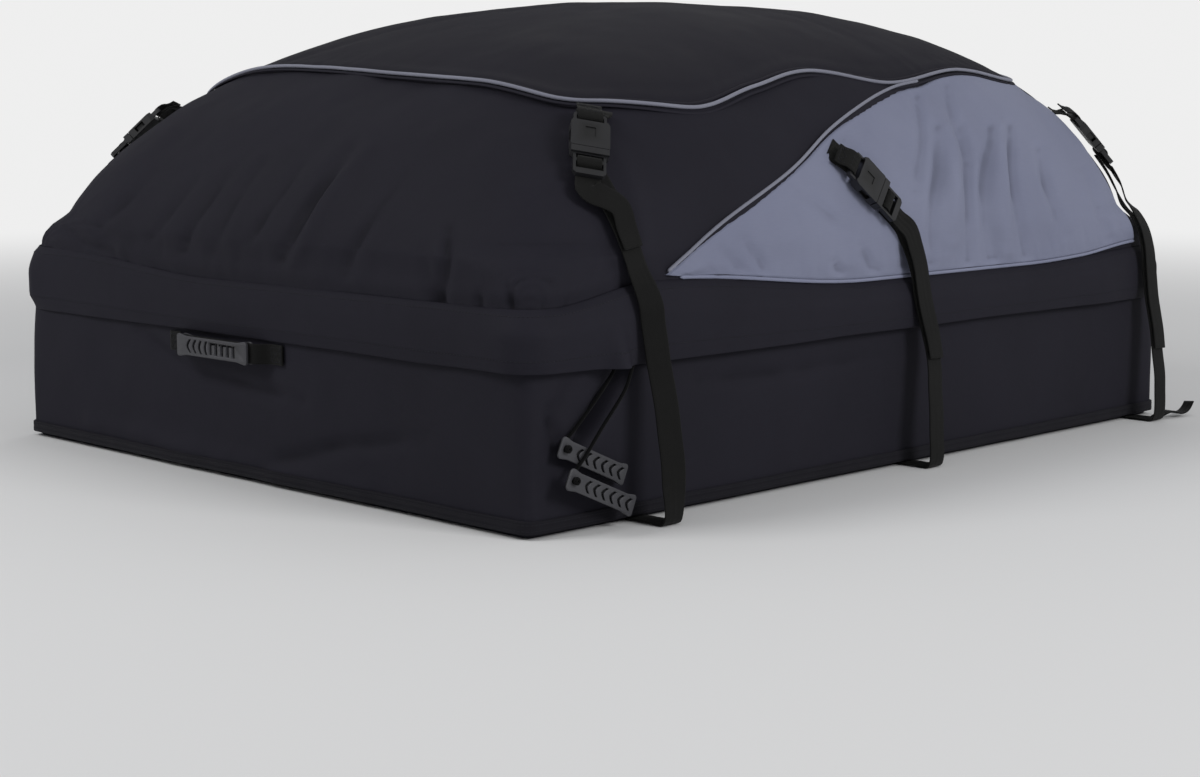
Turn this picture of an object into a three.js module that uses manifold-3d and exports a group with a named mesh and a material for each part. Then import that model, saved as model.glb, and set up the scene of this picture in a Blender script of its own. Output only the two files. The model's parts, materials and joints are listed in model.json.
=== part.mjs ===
// Soft roof cargo bag, packed full, zipped shut and buckled for the road.
// Millimetres. +X is the front of the car, +Y its left side, +Z up.
// The origin is the centre of the flat base.

import * as THREE from "three";
import { mergeVertices } from "three/addons/utils/BufferGeometryUtils.js";
import Module from "manifold-3d";

const wasm = await Module();
wasm.setup();

// Size of the packed bag
const BAG_LENGTH = 1092;
const BAG_WIDTH = 864;
const WALL_HEIGHT = 252;
const CROWN_HEIGHT = 508;
const CROWN_SETBACK = 42.4; // the top of the load lies this far behind the middle
const FOOT_RADIUS = 9; // the wall turns in by this much where it meets the base
const FOOT_RISE = 16;

// How square the bag is: powers of its plan, which is a box at the foot and rounds off up the dome
const FOOT_POWER = 80;
const SEAM_POWER = 24;
const DOME_POWER = 9;
const CROWN_POWER = 3.23;
const BOX_TOP_BELOW = 37; // the box shape holds up to this far under the top of the wall
const BOX_FADE = 53; // and has gone this far above that
const POWER_EASE = 0.7;
const RISE_POWER = 1.67;
const LENGTH_POWER = 2.28;
const WIDTH_POWER = 2.88;

// Seam, zip and rain flap
const ZIP_HEIGHT = 178;
const ZIP_CORNER_RADIUS = 28;
const ZIP_TAPE_WIDTH = 30;
const ZIP_TAPE_THICKNESS = 1.6;
const ZIP_CHAIN_WIDTH = 5;
const ZIP_CHAIN_THICKNESS = 2;
const ZIP_REAR_SETBACK = 112; // the zip stops this far before the rear wall
const SEAM_LOW = 205; // the seam above the flap, at the middle of each side
const SEAM_FRONT_RISE = 21; // it climbs by this much towards the front corners
const SEAM_REAR_RISE = 9;
const FLAP_BOTTOM = ZIP_HEIGHT - 26;
const FLAP_THICKNESS = 2;
const FLAP_STAND = 11; // how far the flap stands off the zip line
const FLAP_REAR_REACH = 100; // how far it turns onto the rear wall
const HEM_LOW = 4.6;
const HEM_HIGH = 17;
const HEM_THICKNESS = 1.6;

// Fabric and trim
const LAY_GAP = 0.8; // between a sewn-on piece and the fabric under it
const CLEAR = 0.4; // between pieces that touch
const PANEL_DEPTH = 2.6; // a panel is let into the lid by this much
const PANEL_PROUD = 0.9; // and stands this far out of it
const PIPING_RADIUS = 2.4;

// Webbing and buckles
const WEBBING_WIDTH = 25;
const WEBBING_THICKNESS = 1.6;
const LOOP_WIDTH = 24; // the adjuster loop and tail, a little narrower under tension
const BUCKLE_WIDTH = 38;
const BUCKLE_THICKNESS = 10;
const BUCKLE_WALL = 3.2;
const BAR_THICKNESS = 5;
const SOCKET_LENGTH = 34;
const SOCKET_TAIL = 12; // the bar end beyond the socket
const PLUG_COLLAR = 8;
const PLUG_LENGTH = 34;
const PRONG_LENGTH = 28;
const RAIL_STAND = 38; // the strap hangs this far off the wall, round the car's rail

// Carry handle
const HANDLE_CENTRE_Y = -28;
const HANDLE_GRIP_LENGTH = 124;
const HANDLE_GRIP_WIDTH = 24;
const HANDLE_GRIP_THICKNESS = 9;
const HANDLE_STAND = 14;
const HANDLE_HEIGHT = ZIP_HEIGHT - 40;

// Zip pullers
const GRIP_LENGTH = 92;
const GRIP_WIDTH = 21;
const GRIP_THICKNESS = 5;
const GRIP_HOLE_RADIUS = 3.2;
const GRIP_DROOP = 24; // degrees below level
const CORD_RADIUS = 1.8;

// Materials, as the photograph shows them

const shades = {
  black_fabric: [0x24242a, 0.85],
  crown_fabric: [0x2c2c33, 0.85],
  grey_fabric: [0x7a7f8f, 0.8],
  piping: [0x8b8d96, 0.7],
  webbing: [0x18181a, 0.8],
  black_plastic: [0x1b1b1e, 0.45],
  grip_rubber: [0x4b4b4e, 0.7],
  zip_coil: [0x151517, 0.5],
};

function material(name) {
  const [color, roughness] = shades[name];
  return new THREE.MeshStandardMaterial({ color, roughness, metalness: 0 });
}

// The bag's surface

const HALF_LENGTH = BAG_LENGTH / 2;
const HALF_WIDTH = BAG_WIDTH / 2;
const DOME_HEIGHT = CROWN_HEIGHT - WALL_HEIGHT;

// Half sizes, squareness and rearward shift of the bag's plan at height z.
function planAt(z) {
  const rise = THREE.MathUtils.clamp((z - WALL_HEIGHT) / DOME_HEIGHT, 0, 1);
  const sine = rise ** (RISE_POWER / 2);
  const cosine = Math.sqrt(Math.max(0, 1 - sine * sine));
  const share = Math.asin(sine) / (Math.PI / 2);
  const boxTop = WALL_HEIGHT - BOX_TOP_BELOW;
  const box = THREE.MathUtils.lerp(FOOT_POWER, SEAM_POWER, THREE.MathUtils.clamp(z / boxTop, 0, 1));
  const dome = DOME_POWER + (CROWN_POWER - DOME_POWER) * share ** POWER_EASE;
  return {
    halfLength: Math.max(1e-3, HALF_LENGTH * cosine ** (2 / LENGTH_POWER)),
    halfWidth: Math.max(1e-3, HALF_WIDTH * cosine ** (2 / WIDTH_POWER)),
    power: THREE.MathUtils.lerp(box, dome, THREE.MathUtils.smoothstep(z, boxTop, boxTop + BOX_FADE)),
    shift: -CROWN_SETBACK * rise,
  };
}

// Below 1 inside the bag, 1 on its surface, above 1 outside.
function fieldAt(x, y, z) {
  const plan = planAt(z);
  const along = Math.abs((x - plan.shift) / plan.halfLength);
  const across = Math.abs(y / plan.halfWidth);
  return along ** plan.power + across ** plan.power;
}

function normalAt(p) {
  const e = 0.5;
  return new THREE.Vector3(
    fieldAt(p.x + e, p.y, p.z) - fieldAt(p.x - e, p.y, p.z),
    fieldAt(p.x, p.y + e, p.z) - fieldAt(p.x, p.y - e, p.z),
    fieldAt(p.x, p.y, p.z + e) - fieldAt(p.x, p.y, p.z - e),
  ).normalize();
}

// A point on the left side of the bag, over x and height z.
function onSide(x, z) {
  const plan = planAt(z);
  const along = Math.min(1, Math.abs((x - plan.shift) / plan.halfLength));
  const across = (1 - along ** plan.power) ** (1 / plan.power);
  return new THREE.Vector3(x, plan.halfWidth * across, z);
}

// A point on top of the bag, over x and y.
function onTop(x, y) {
  let low = WALL_HEIGHT;
  let high = CROWN_HEIGHT;
  for (let i = 0; i < 40; i++) {
    const middle = (low + high) / 2;
    if (fieldAt(x, y, middle) < 1) low = middle;
    else high = middle;
  }
  return new THREE.Vector3(x, y, low);
}

// A height given as a level: 0 at the base, 1 at the top of the wall, 2 at the crown.
function heightAt(level) {
  if (level <= 1) return level * WALL_HEIGHT;
  return WALL_HEIGHT + (level - 1) * DOME_HEIGHT;
}

function lifted(p, distance) {
  return p.clone().addScaledVector(normalAt(p), distance);
}

// Closed meshes

function closedMesh(points, faces) {
  let volume = 0;
  for (const [a, b, c] of faces) {
    volume += points[a].dot(points[b].clone().cross(points[c]));
  }
  const index = faces.flatMap(([a, b, c]) => (volume < 0 ? [a, c, b] : [a, b, c]));
  const flat = new Float32Array(points.flatMap((p) => [p.x, p.y, p.z]));
  const geometry = new THREE.BufferGeometry();
  geometry.setAttribute("position", new THREE.BufferAttribute(flat, 3));
  geometry.setIndex(index);
  return geometry;
}

// A skin through rings of equal length, closed at both ends.
function ringLoft(rings) {
  const count = rings[0].length;
  const points = rings.flat();
  const faces = [];
  for (let r = 0; r + 1 < rings.length; r++) {
    for (let i = 0; i < count; i++) {
      const a = r * count + i;
      const b = r * count + ((i + 1) % count);
      faces.push([a, b, b + count], [a, b + count, a + count]);
    }
  }
  const capEnd = (first, ring, turned) => {
    const centre = new THREE.Vector3();
    ring.forEach((p) => centre.add(p));
    points.push(centre.divideScalar(count));
    const middle = points.length - 1;
    for (let i = 0; i < count; i++) {
      const a = first + i;
      const b = first + ((i + 1) % count);
      faces.push(turned ? [b, a, middle] : [a, b, middle]);
    }
  };
  capEnd(0, rings[0], true);
  capEnd((rings.length - 1) * count, rings.at(-1), false);
  return closedMesh(points, faces);
}

// A ring of sections, the last joined to the first.
function hoopLoft(sections) {
  const size = sections[0].length;
  const points = sections.flat();
  const faces = [];
  for (let s = 0; s < sections.length; s++) {
    const next = (s + 1) % sections.length;
    for (let i = 0; i < size; i++) {
      const a = s * size + i;
      const b = s * size + ((i + 1) % size);
      const c = next * size + i;
      const d = next * size + ((i + 1) % size);
      faces.push([a, b, d], [a, d, c]);
    }
  }
  return closedMesh(points, faces);
}

// A sheet over a grid of places. Each place gives its lower and upper point.
function sheet(columns, rows, place) {
  const points = [];
  const faces = [];
  const width = rows + 1;
  const upper = (c, r) => 2 * (c * width + r);
  const lower = (c, r) => upper(c, r) + 1;
  for (let c = 0; c <= columns; c++) {
    for (let r = 0; r <= rows; r++) {
      const { low, high } = place(c / columns, r / rows);
      points.push(high, low);
    }
  }
  const quad = (a, b, c, d) => faces.push([a, b, c], [a, c, d]);
  for (let c = 0; c < columns; c++) {
    for (let r = 0; r < rows; r++) {
      quad(upper(c, r), upper(c + 1, r), upper(c + 1, r + 1), upper(c, r + 1));
      quad(lower(c, r), lower(c, r + 1), lower(c + 1, r + 1), lower(c + 1, r));
    }
    quad(upper(c, 0), lower(c, 0), lower(c + 1, 0), upper(c + 1, 0));
    quad(upper(c, rows), upper(c + 1, rows), lower(c + 1, rows), lower(c, rows));
  }
  for (let r = 0; r < rows; r++) {
    quad(upper(0, r), upper(0, r + 1), lower(0, r + 1), lower(0, r));
    quad(upper(columns, r), lower(columns, r), lower(columns, r + 1), upper(columns, r + 1));
  }
  return closedMesh(points, faces);
}

// Webbing of even thickness through stations, each with a middle and the webbing's way across.
function ribbon(stations, width) {
  const thicknessAt = (i) => {
    const before = stations[Math.max(0, i - 1)];
    const here = stations[i];
    const after = stations[Math.min(stations.length - 1, i + 1)];
    const way = here.across.clone().normalize();
    const faceOf = (from, to) => {
      const run = to.middle.clone().sub(from.middle);
      return run.cross(way).normalize();
    };
    if (i === 0) return faceOf(here, after);
    if (i === stations.length - 1) return faceOf(before, here);
    const first = faceOf(before, here);
    const second = faceOf(here, after);
    const mean = first.clone().add(second).normalize();
    return mean.divideScalar(Math.max(0.5, mean.dot(first)));
  };
  const rings = stations.map((station, i) => {
    const face = thicknessAt(i).multiplyScalar(WEBBING_THICKNESS / 2);
    const side = station.across.clone().normalize().multiplyScalar(width / 2);
    return [
      station.middle.clone().add(face).add(side),
      station.middle.clone().add(face).sub(side),
      station.middle.clone().sub(face).sub(side),
      station.middle.clone().sub(face).add(side),
    ];
  });
  return ringLoft(rings);
}

// A round cord through points.
function cordAlong(points, radius, steps, sides) {
  const shape = new THREE.Shape();
  for (let i = 0; i < sides; i++) {
    const turn = (2 * Math.PI * i) / sides;
    const at = [radius * Math.cos(turn), radius * Math.sin(turn)];
    if (i === 0) shape.moveTo(...at);
    else shape.lineTo(...at);
  }
  shape.closePath();
  const path = new THREE.CatmullRomCurve3(points);
  return new THREE.ExtrudeGeometry(shape, { steps, bevelEnabled: false, extrudePath: path });
}

function mirrored(geometry) {
  const copy = geometry.index ? geometry.toNonIndexed() : geometry.clone();
  copy.applyMatrix4(new THREE.Matrix4().makeScale(1, -1, 1));
  const flat = copy.getAttribute("position").array;
  for (let i = 0; i < flat.length; i += 9) {
    for (let k = 0; k < 3; k++) {
      [flat[i + 3 + k], flat[i + 6 + k]] = [flat[i + 6 + k], flat[i + 3 + k]];
    }
  }
  const made = new THREE.BufferGeometry();
  made.setAttribute("position", copy.getAttribute("position"));
  return made;
}

// Solid joins and cuts

function solid(geometry) {
  const bare = new THREE.BufferGeometry();
  bare.setAttribute("position", geometry.getAttribute("position"));
  if (geometry.index) bare.setIndex(geometry.index);
  const merged = mergeVertices(bare, 1e-4);
  return new wasm.Manifold(
    new wasm.Mesh({
      numProp: 3,
      vertProperties: new Float32Array(merged.getAttribute("position").array),
      triVerts: new Uint32Array(merged.index.array),
    }),
  );
}

function geometryOf(body) {
  const mesh = body.getMesh();
  const geometry = new THREE.BufferGeometry();
  geometry.setAttribute("position", new THREE.BufferAttribute(mesh.vertProperties, 3));
  geometry.setIndex(new THREE.BufferAttribute(mesh.triVerts, 1));
  return geometry;
}

function block(x0, x1, y0, y1, z0, z1) {
  const box = new THREE.BoxGeometry(x1 - x0, y1 - y0, z1 - z0);
  return box.translate((x0 + x1) / 2, (y0 + y1) / 2, (z0 + z1) / 2);
}

// An outline in x and y, pulled up from z0 to z1.
function slab(outline, z0, z1) {
  const points = outline.map(([x, y]) => new THREE.Vector2(x, y));
  if (THREE.ShapeUtils.isClockWise(points)) points.reverse();
  const shape = new THREE.Shape(points);
  const made = new THREE.ExtrudeGeometry(shape, { depth: z1 - z0, bevelEnabled: false });
  return made.translate(0, 0, z0);
}

// Scene

const bag = new THREE.Group();

function add(name, geometry, look, parent = bag) {
  const mesh = new THREE.Mesh(geometry, material(look));
  mesh.name = name;
  parent.add(mesh);
  return mesh;
}

function addBothSides(left, right, geometry, look) {
  add(left, geometry, look);
  add(right, mirrored(geometry), look);
}

// Angles round the bag, close together where its plan turns.

const ROUND_STEPS = 72;
const TURN_WEIGHT = 190; // a quarter turn counts as this much length

function anglesRound() {
  const plan = planAt(WALL_HEIGHT);
  const samples = 1440;
  const at = (i) => {
    const t = (2 * Math.PI * i) / samples;
    const c = Math.cos(t);
    const s = Math.sin(t);
    const k = (Math.abs(c) ** plan.power + Math.abs(s) ** plan.power) ** (-1 / plan.power);
    return new THREE.Vector2(plan.halfLength * c * k, plan.halfWidth * s * k);
  };
  const weights = [0];
  for (let i = 0; i < samples; i++) {
    const step = at(i + 1).sub(at(i));
    const next = at(i + 2).sub(at(i + 1));
    const turn = Math.abs(Math.atan2(step.cross(next), step.dot(next)));
    weights.push(weights[i] + step.length() + (turn / (Math.PI / 2)) * TURN_WEIGHT);
  }
  const angles = [];
  let i = 0;
  for (let k = 0; k < ROUND_STEPS; k++) {
    const goal = (weights[samples] * k) / ROUND_STEPS;
    while (weights[i + 1] < goal) i++;
    const part = (goal - weights[i]) / (weights[i + 1] - weights[i]);
    angles.push((2 * Math.PI * (i + part)) / samples);
  }
  return angles;
}

const angles = anglesRound();

function ringAt(z, inset = 0) {
  const plan = planAt(z);
  return angles.map((t) => {
    const c = Math.cos(t);
    const s = Math.sin(t);
    const k = (Math.abs(c) ** plan.power + Math.abs(s) ** plan.power) ** (-1 / plan.power);
    const p = new THREE.Vector3(plan.halfLength * c * k + plan.shift, plan.halfWidth * s * k, z);
    return p.addScaledVector(normalAt(p).setZ(0).normalize(), -inset);
  });
}

// Slack in the fabric: the load leaves shallow hollows between soft folds.

const FOLD_DEPTH = 3.5;
const FOLD_SPACING = 95;
const WALL_SLACK = 3;

function foldDepth(p) {
  const front = THREE.MathUtils.smoothstep(p.x, HALF_LENGTH * 0.35, HALF_LENGTH * 0.8);
  const band = Math.sin(Math.PI * THREE.MathUtils.clamp((p.z - WALL_HEIGHT) / DOME_HEIGHT, 0, 1));
  const wave = Math.sin((2 * Math.PI * (p.y * 0.8 - p.z)) / FOLD_SPACING);
  return FOLD_DEPTH * front * band * (0.5 + 0.5 * wave);
}

function wallSlack(p) {
  const wave = Math.sin(p.x / 83) * Math.cos(p.y / 71);
  return WALL_SLACK * (0.5 + 0.5 * wave);
}

// Lower tub: flat base, turned-in foot, straight wall

const SPLIT_GAP = 0.4;

function lowerTub() {
  const top = ZIP_HEIGHT - SPLIT_GAP / 2;
  const middle = ringAt(ZIP_HEIGHT * 0.45).map((p) => lifted(p, -wallSlack(p)));
  return ringLoft([
    ringAt(0, FOOT_RADIUS),
    ringAt(FOOT_RISE * 0.3, FOOT_RADIUS * 0.3),
    ringAt(FOOT_RISE),
    middle,
    ringAt(ZIP_HEIGHT * 0.8),
    ringAt(top),
  ]);
}

add("lower_tub", lowerTub(), "black_fabric");

// Lid: short wall over the zip, then the dome

const DOME_LEVELS = [1.15, 1.26, 1.38, 1.52, 1.65, 1.77, 1.87, 1.94, 1.985];

function lidCover() {
  const low = ZIP_HEIGHT + SPLIT_GAP / 2;
  const boxTop = WALL_HEIGHT - BOX_TOP_BELOW;
  const rings = [ringAt(low), ringAt(boxTop), ringAt(boxTop + BOX_FADE / 2), ringAt(boxTop + BOX_FADE)];
  for (const level of DOME_LEVELS) {
    rings.push(ringAt(heightAt(level)).map((p) => lifted(p, -foldDepth(p))));
  }
  return ringLoft(rings);
}

// Crown piping: a wavy loop seen in plan, given as setbacks from the ends and the sides

const CROWN_LOOP_LEFT = [
  { front: 160, side: 122 },
  { front: 194, side: 90 },
  { front: 284, side: 62 },
  { front: 396, side: 78 },
  { front: 506, side: 96 },
  { front: 631, side: 82 },
  { front: 780, side: 102 },
  { front: 918, side: 114 },
];
const CROWN_LOOP_REAR = [
  { rear: 128, y: 200 },
  { rear: 121, y: 0 },
  { rear: 128, y: -200 },
];
const CROWN_LOOP_FRONT = [
  { front: 195, y: -236 },
  { front: 184, y: -80 },
  { front: 169, y: 60 },
  { front: 159, y: 190 },
];
const RIGHT_CORNER_EASE = 34; // the loop's front right corner is drawn back by this much

function crownLoop() {
  const left = CROWN_LOOP_LEFT.map((k) => [HALF_LENGTH - k.front, HALF_WIDTH - k.side]);
  const rear = CROWN_LOOP_REAR.map((k) => [-HALF_LENGTH + k.rear, k.y]);
  const right = left.toReversed().map(([x, y]) => [x, -y]);
  right[right.length - 1][0] -= RIGHT_CORNER_EASE;
  right[right.length - 2][0] -= RIGHT_CORNER_EASE / 3;
  const front = CROWN_LOOP_FRONT.map((k) => [HALF_LENGTH - k.front, k.y]);
  const points = [...left, ...rear, ...right, ...front];
  return new THREE.CatmullRomCurve3(points.map(([x, y]) => new THREE.Vector3(x, y, 0)), true);
}

const loop = crownLoop();
const LOOP_STEPS = 84;
const loopPlan = loop.getSpacedPoints(LOOP_STEPS).slice(0, LOOP_STEPS);

function loopInward(i) {
  const before = loopPlan[(i + LOOP_STEPS - 1) % LOOP_STEPS];
  const after = loopPlan[(i + 1) % LOOP_STEPS];
  const run = after.clone().sub(before).normalize();
  const inward = new THREE.Vector3(-run.y, run.x, 0);
  const toMiddle = new THREE.Vector3(-CROWN_SETBACK, 0, 0).sub(loopPlan[i]);
  return inward.dot(toMiddle) < 0 ? inward.negate() : inward;
}

const PIPING_LIFT = LAY_GAP + PIPING_RADIUS;

function crownPiping() {
  const sides = 5;
  const sections = loopPlan.map((plan, i) => {
    const middle = lifted(onTop(plan.x, plan.y), PIPING_LIFT);
    const before = loopPlan[(i + LOOP_STEPS - 1) % LOOP_STEPS];
    const after = loopPlan[(i + 1) % LOOP_STEPS];
    const run = onTop(after.x, after.y).sub(onTop(before.x, before.y)).normalize();
    const up = normalAt(onTop(plan.x, plan.y));
    const out = run.clone().cross(up).normalize();
    const ring = [];
    for (let k = 0; k < sides; k++) {
      const turn = (2 * Math.PI * k) / sides;
      const p = middle.clone().addScaledVector(out, PIPING_RADIUS * Math.cos(turn));
      ring.push(p.addScaledVector(up, PIPING_RADIUS * Math.sin(turn)));
    }
    return ring;
  });
  return hoopLoft(sections);
}

add("crown_piping", crownPiping(), "piping");

// Crown panel: the separate top inside the piping

const EDGE_INSET = PIPING_RADIUS + 0.8;
const CROWN_ROWS = 3;

// A disc of fabric over the loop's plan, drawn in from the piping by inset.
function crownDisc(inset, low, high) {
  const skip = 2;
  const rim = loopPlan.map((p, i) => p.clone().addScaledVector(loopInward(i), inset));
  const outline = rim.filter((_, i) => i % skip === 0);
  const centre = new THREE.Vector3(-CROWN_SETBACK, 0, 0);
  const points = [];
  const faces = [];
  const count = outline.length;
  for (const lift of [low, high]) {
    for (let r = 0; r < CROWN_ROWS; r++) {
      for (const p of outline) {
        const plan = p.clone().lerp(centre, r / CROWN_ROWS);
        points.push(lifted(onTop(plan.x, plan.y), lift));
      }
    }
    points.push(centre.clone().setZ(CROWN_HEIGHT + lift));
  }
  const layer = CROWN_ROWS * count + 1;
  const layerFaces = (base, turned) => {
    const put = (a, b, c) => faces.push(turned ? [a, c, b] : [a, b, c]);
    for (let i = 0; i < count; i++) {
      const j = (i + 1) % count;
      for (let r = 0; r + 1 < CROWN_ROWS; r++) {
        const a = base + r * count;
        const b = a + count;
        put(a + i, a + j, b + j);
        put(a + i, b + j, b + i);
      }
      const last = base + (CROWN_ROWS - 1) * count;
      put(last + i, last + j, base + layer - 1);
    }
  };
  layerFaces(0, true);
  layerFaces(layer, false);
  for (let i = 0; i < count; i++) {
    const j = (i + 1) % count;
    faces.push([i, j, layer + j], [i, layer + j, layer + i]);
  }
  return closedMesh(points, faces);
}

const RECESS_REACH = 20;

add("crown_panel", crownDisc(EDGE_INSET, -PANEL_DEPTH, PANEL_PROUD), "crown_fabric");
const crownRecess = crownDisc(EDGE_INSET - CLEAR, -PANEL_DEPTH - CLEAR, RECESS_REACH);

// Seam over the flap: how high it runs along the sides and across the front

function sideSeam(x) {
  const front = THREE.MathUtils.smoothstep(x, HALF_LENGTH * 0.1, HALF_LENGTH * 0.68);
  const rear = THREE.MathUtils.smoothstep(-x, HALF_LENGTH * 0.45, HALF_LENGTH * 0.92);
  return SEAM_LOW + SEAM_FRONT_RISE * front + SEAM_REAR_RISE * rear;
}

function frontSeam(y) {
  const right = THREE.MathUtils.smoothstep(-y, HALF_WIDTH * 0.14, HALF_WIDTH * 0.8);
  return SEAM_LOW + 4 + (SEAM_FRONT_RISE - 5) * right;
}

// Grey side panels: a long low front corner, a diagonal front edge, the crown piping above

const PANEL_TIP_SETBACK = 200;
const PANEL_REAR_SETBACK = 64;
const PANEL_FOOT_GAP = 3;
const PANEL_REAR_RISE = 16;
const PANEL_TIP_HEIGHT = 2.5;
const PANEL_JOIN_GAP = 45; // from the diagonal's end to where the top edge meets the crown piping
const DIAGONAL = [
  { front: 179, level: 0.925 },
  { front: 262, level: 1.095 },
  { front: 385, level: 1.28 },
  { front: 472, level: 1.425 },
  { front: 560, level: 1.505 },
  { front: 632, level: 1.574 },
];

const diagonal = new THREE.SplineCurve(
  DIAGONAL.map((k) => new THREE.Vector2(HALF_LENGTH - k.front, heightAt(k.level))),
);

// The panel's upper edge runs up the diagonal and back along the crown piping.
function panelTopEdge() {
  const drop = EDGE_INSET + 1;
  const points = diagonal.getPoints(8).map((p) => new THREE.Vector2(p.x, p.y - drop));
  const join = points.at(-1).x - PANEL_JOIN_GAP;
  const rearEnd = -HALF_LENGTH + CROWN_LOOP_LEFT.at(-1).side + 40;
  loopPlan.forEach((p, i) => {
    if (p.y > 0 && p.x < join && p.x > rearEnd && i % 2 === 0) {
      const out = p.clone().addScaledVector(loopInward(i), -drop);
      points.push(new THREE.Vector2(out.x, onTop(out.x, out.y).z));
    }
  });
  return new THREE.SplineCurve(points);
}

const panelTop = panelTopEdge();

function panelFoot(u) {
  const x = THREE.MathUtils.lerp(HALF_LENGTH - PANEL_TIP_SETBACK, -HALF_LENGTH + PANEL_REAR_SETBACK, u);
  const toRear = THREE.MathUtils.smoothstep(u, 0.85, 1);
  return new THREE.Vector2(x, sideSeam(x) + PANEL_FOOT_GAP + PANEL_REAR_RISE * toRear);
}

const PANEL_PUCKER = 2.2;
const RECESS_CLEAR = 0.8;
const PANEL_COLUMNS = 20;
const PANEL_ROWS = 5;

// Upright puckers in the rear half of the panel, where the load pulls at the seam
function puckerAt(u, v) {
  const ripple = 0.5 + 0.5 * Math.sin(2 * Math.PI * (6.5 * u + 0.4 * v));
  const start = THREE.MathUtils.smoothstep(u, 0.62, 0.75);
  const end = 1 - THREE.MathUtils.smoothstep(u, 0.86, 0.94);
  return PANEL_PUCKER * ripple * start * end * Math.sin(Math.PI * v);
}

// The panel's cloth, or with reach its recess, which is wider all round.
function sidePanel(low, high, reach) {
  return sheet(PANEL_COLUMNS, PANEL_ROWS, (u, v) => {
    const foot = panelFoot(u);
    const top = panelTop.getPoint(u);
    if (top.y < foot.y + PANEL_TIP_HEIGHT) top.y = foot.y + PANEL_TIP_HEIGHT;
    const away = top.clone().sub(foot).normalize().multiplyScalar(reach);
    foot.sub(away);
    top.add(away);
    const at = foot.lerp(top, v);
    if (u === 0) at.x += reach;
    if (u === 1) at.x -= reach;
    const p = onSide(at.x, at.y);
    const pucker = reach > 0 ? 0 : puckerAt(u, v);
    return { low: lifted(p, low), high: lifted(p, high + pucker) };
  });
}

const panelCloth = sidePanel(-PANEL_DEPTH, PANEL_PROUD, 0);
const panelRecess = sidePanel(-PANEL_DEPTH - RECESS_CLEAR, RECESS_REACH, RECESS_CLEAR);
addBothSides("side_panel_left", "side_panel_right", panelCloth, "grey_fabric");

let lid = solid(lidCover()).subtract(solid(crownRecess));
lid = lid.subtract(solid(panelRecess)).subtract(solid(mirrored(panelRecess)));
add("lid_cover", geometryOf(lid), "black_fabric");

function sidePiping() {
  const steps = 22;
  const points = [];
  for (let i = 0; i <= steps; i++) {
    const at = diagonal.getPoint(0.01 + (0.965 * i) / steps);
    points.push(lifted(onSide(at.x, at.y), PIPING_LIFT));
  }
  return cordAlong(points, PIPING_RADIUS, steps, 5);
}

addBothSides("side_piping_left", "side_piping_right", sidePiping(), "piping");

// The zip line: a rounded rectangle at the wall, walked from the rear left corner to the rear right

const LONG_RUN = BAG_LENGTH - 2 * ZIP_CORNER_RADIUS;
const CROSS_RUN = BAG_WIDTH - 2 * ZIP_CORNER_RADIUS;
const QUARTER = (Math.PI / 2) * ZIP_CORNER_RADIUS;
const LEFT_START = QUARTER + FLAP_REAR_REACH;

// distance 0 is on the rear wall, FLAP_REAR_REACH before the rear left corner turns
function zipLine(distance) {
  const r = ZIP_CORNER_RADIUS;
  const arc = (cx, cy, from, turned) => {
    const a = from - turned / r;
    const out = new THREE.Vector3(Math.cos(a), Math.sin(a), 0);
    return { p: new THREE.Vector3(cx, cy, 0).addScaledVector(out, r), out };
  };
  const straight = (x, y, dx, dy, run, out) => ({
    p: new THREE.Vector3(x + dx * run, y + dy * run, 0),
    out: new THREE.Vector3(...out, 0),
  });
  const cx = HALF_LENGTH - r;
  const cy = HALF_WIDTH - r;
  let d = distance;
  if (d < FLAP_REAR_REACH) {
    return straight(-HALF_LENGTH, cy - FLAP_REAR_REACH, 0, 1, d, [-1, 0]);
  }
  d -= FLAP_REAR_REACH;
  if (d < QUARTER) return arc(-cx, cy, Math.PI, d);
  d -= QUARTER;
  if (d < LONG_RUN) return straight(-cx, HALF_WIDTH, 1, 0, d, [0, 1]);
  d -= LONG_RUN;
  if (d < QUARTER) return arc(cx, cy, Math.PI / 2, d);
  d -= QUARTER;
  if (d < CROSS_RUN) return straight(HALF_LENGTH, cy, 0, -1, d, [1, 0]);
  d -= CROSS_RUN;
  if (d < QUARTER) return arc(cx, -cy, 0, d);
  d -= QUARTER;
  if (d < LONG_RUN) return straight(cx, -HALF_WIDTH, -1, 0, d, [0, -1]);
  d -= LONG_RUN;
  if (d < QUARTER) return arc(-cx, -cy, -Math.PI / 2, d);
  d -= QUARTER;
  return straight(-HALF_LENGTH, -cy, 0, 1, d, [-1, 0]);
}

const FLAP_RUN = 2 * FLAP_REAR_REACH + 4 * QUARTER + 2 * LONG_RUN + CROSS_RUN;

// How far the fabric wall lies inside the zip line there, at height z.
function wallInset(place, z) {
  let low = 0;
  let high = ZIP_CORNER_RADIUS;
  for (let i = 0; i < 30; i++) {
    const middle = (low + high) / 2;
    const p = place.p.clone().addScaledVector(place.out, -middle);
    if (fieldAt(p.x, p.y, z) > 1) low = middle;
    else high = middle;
  }
  return low;
}

function offZipLine(place, out, z) {
  return place.p.clone().addScaledVector(place.out, out).setZ(z);
}

const CORNER_LEAD = 24; // one more station this far from each corner, where the wall starts to turn

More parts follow.
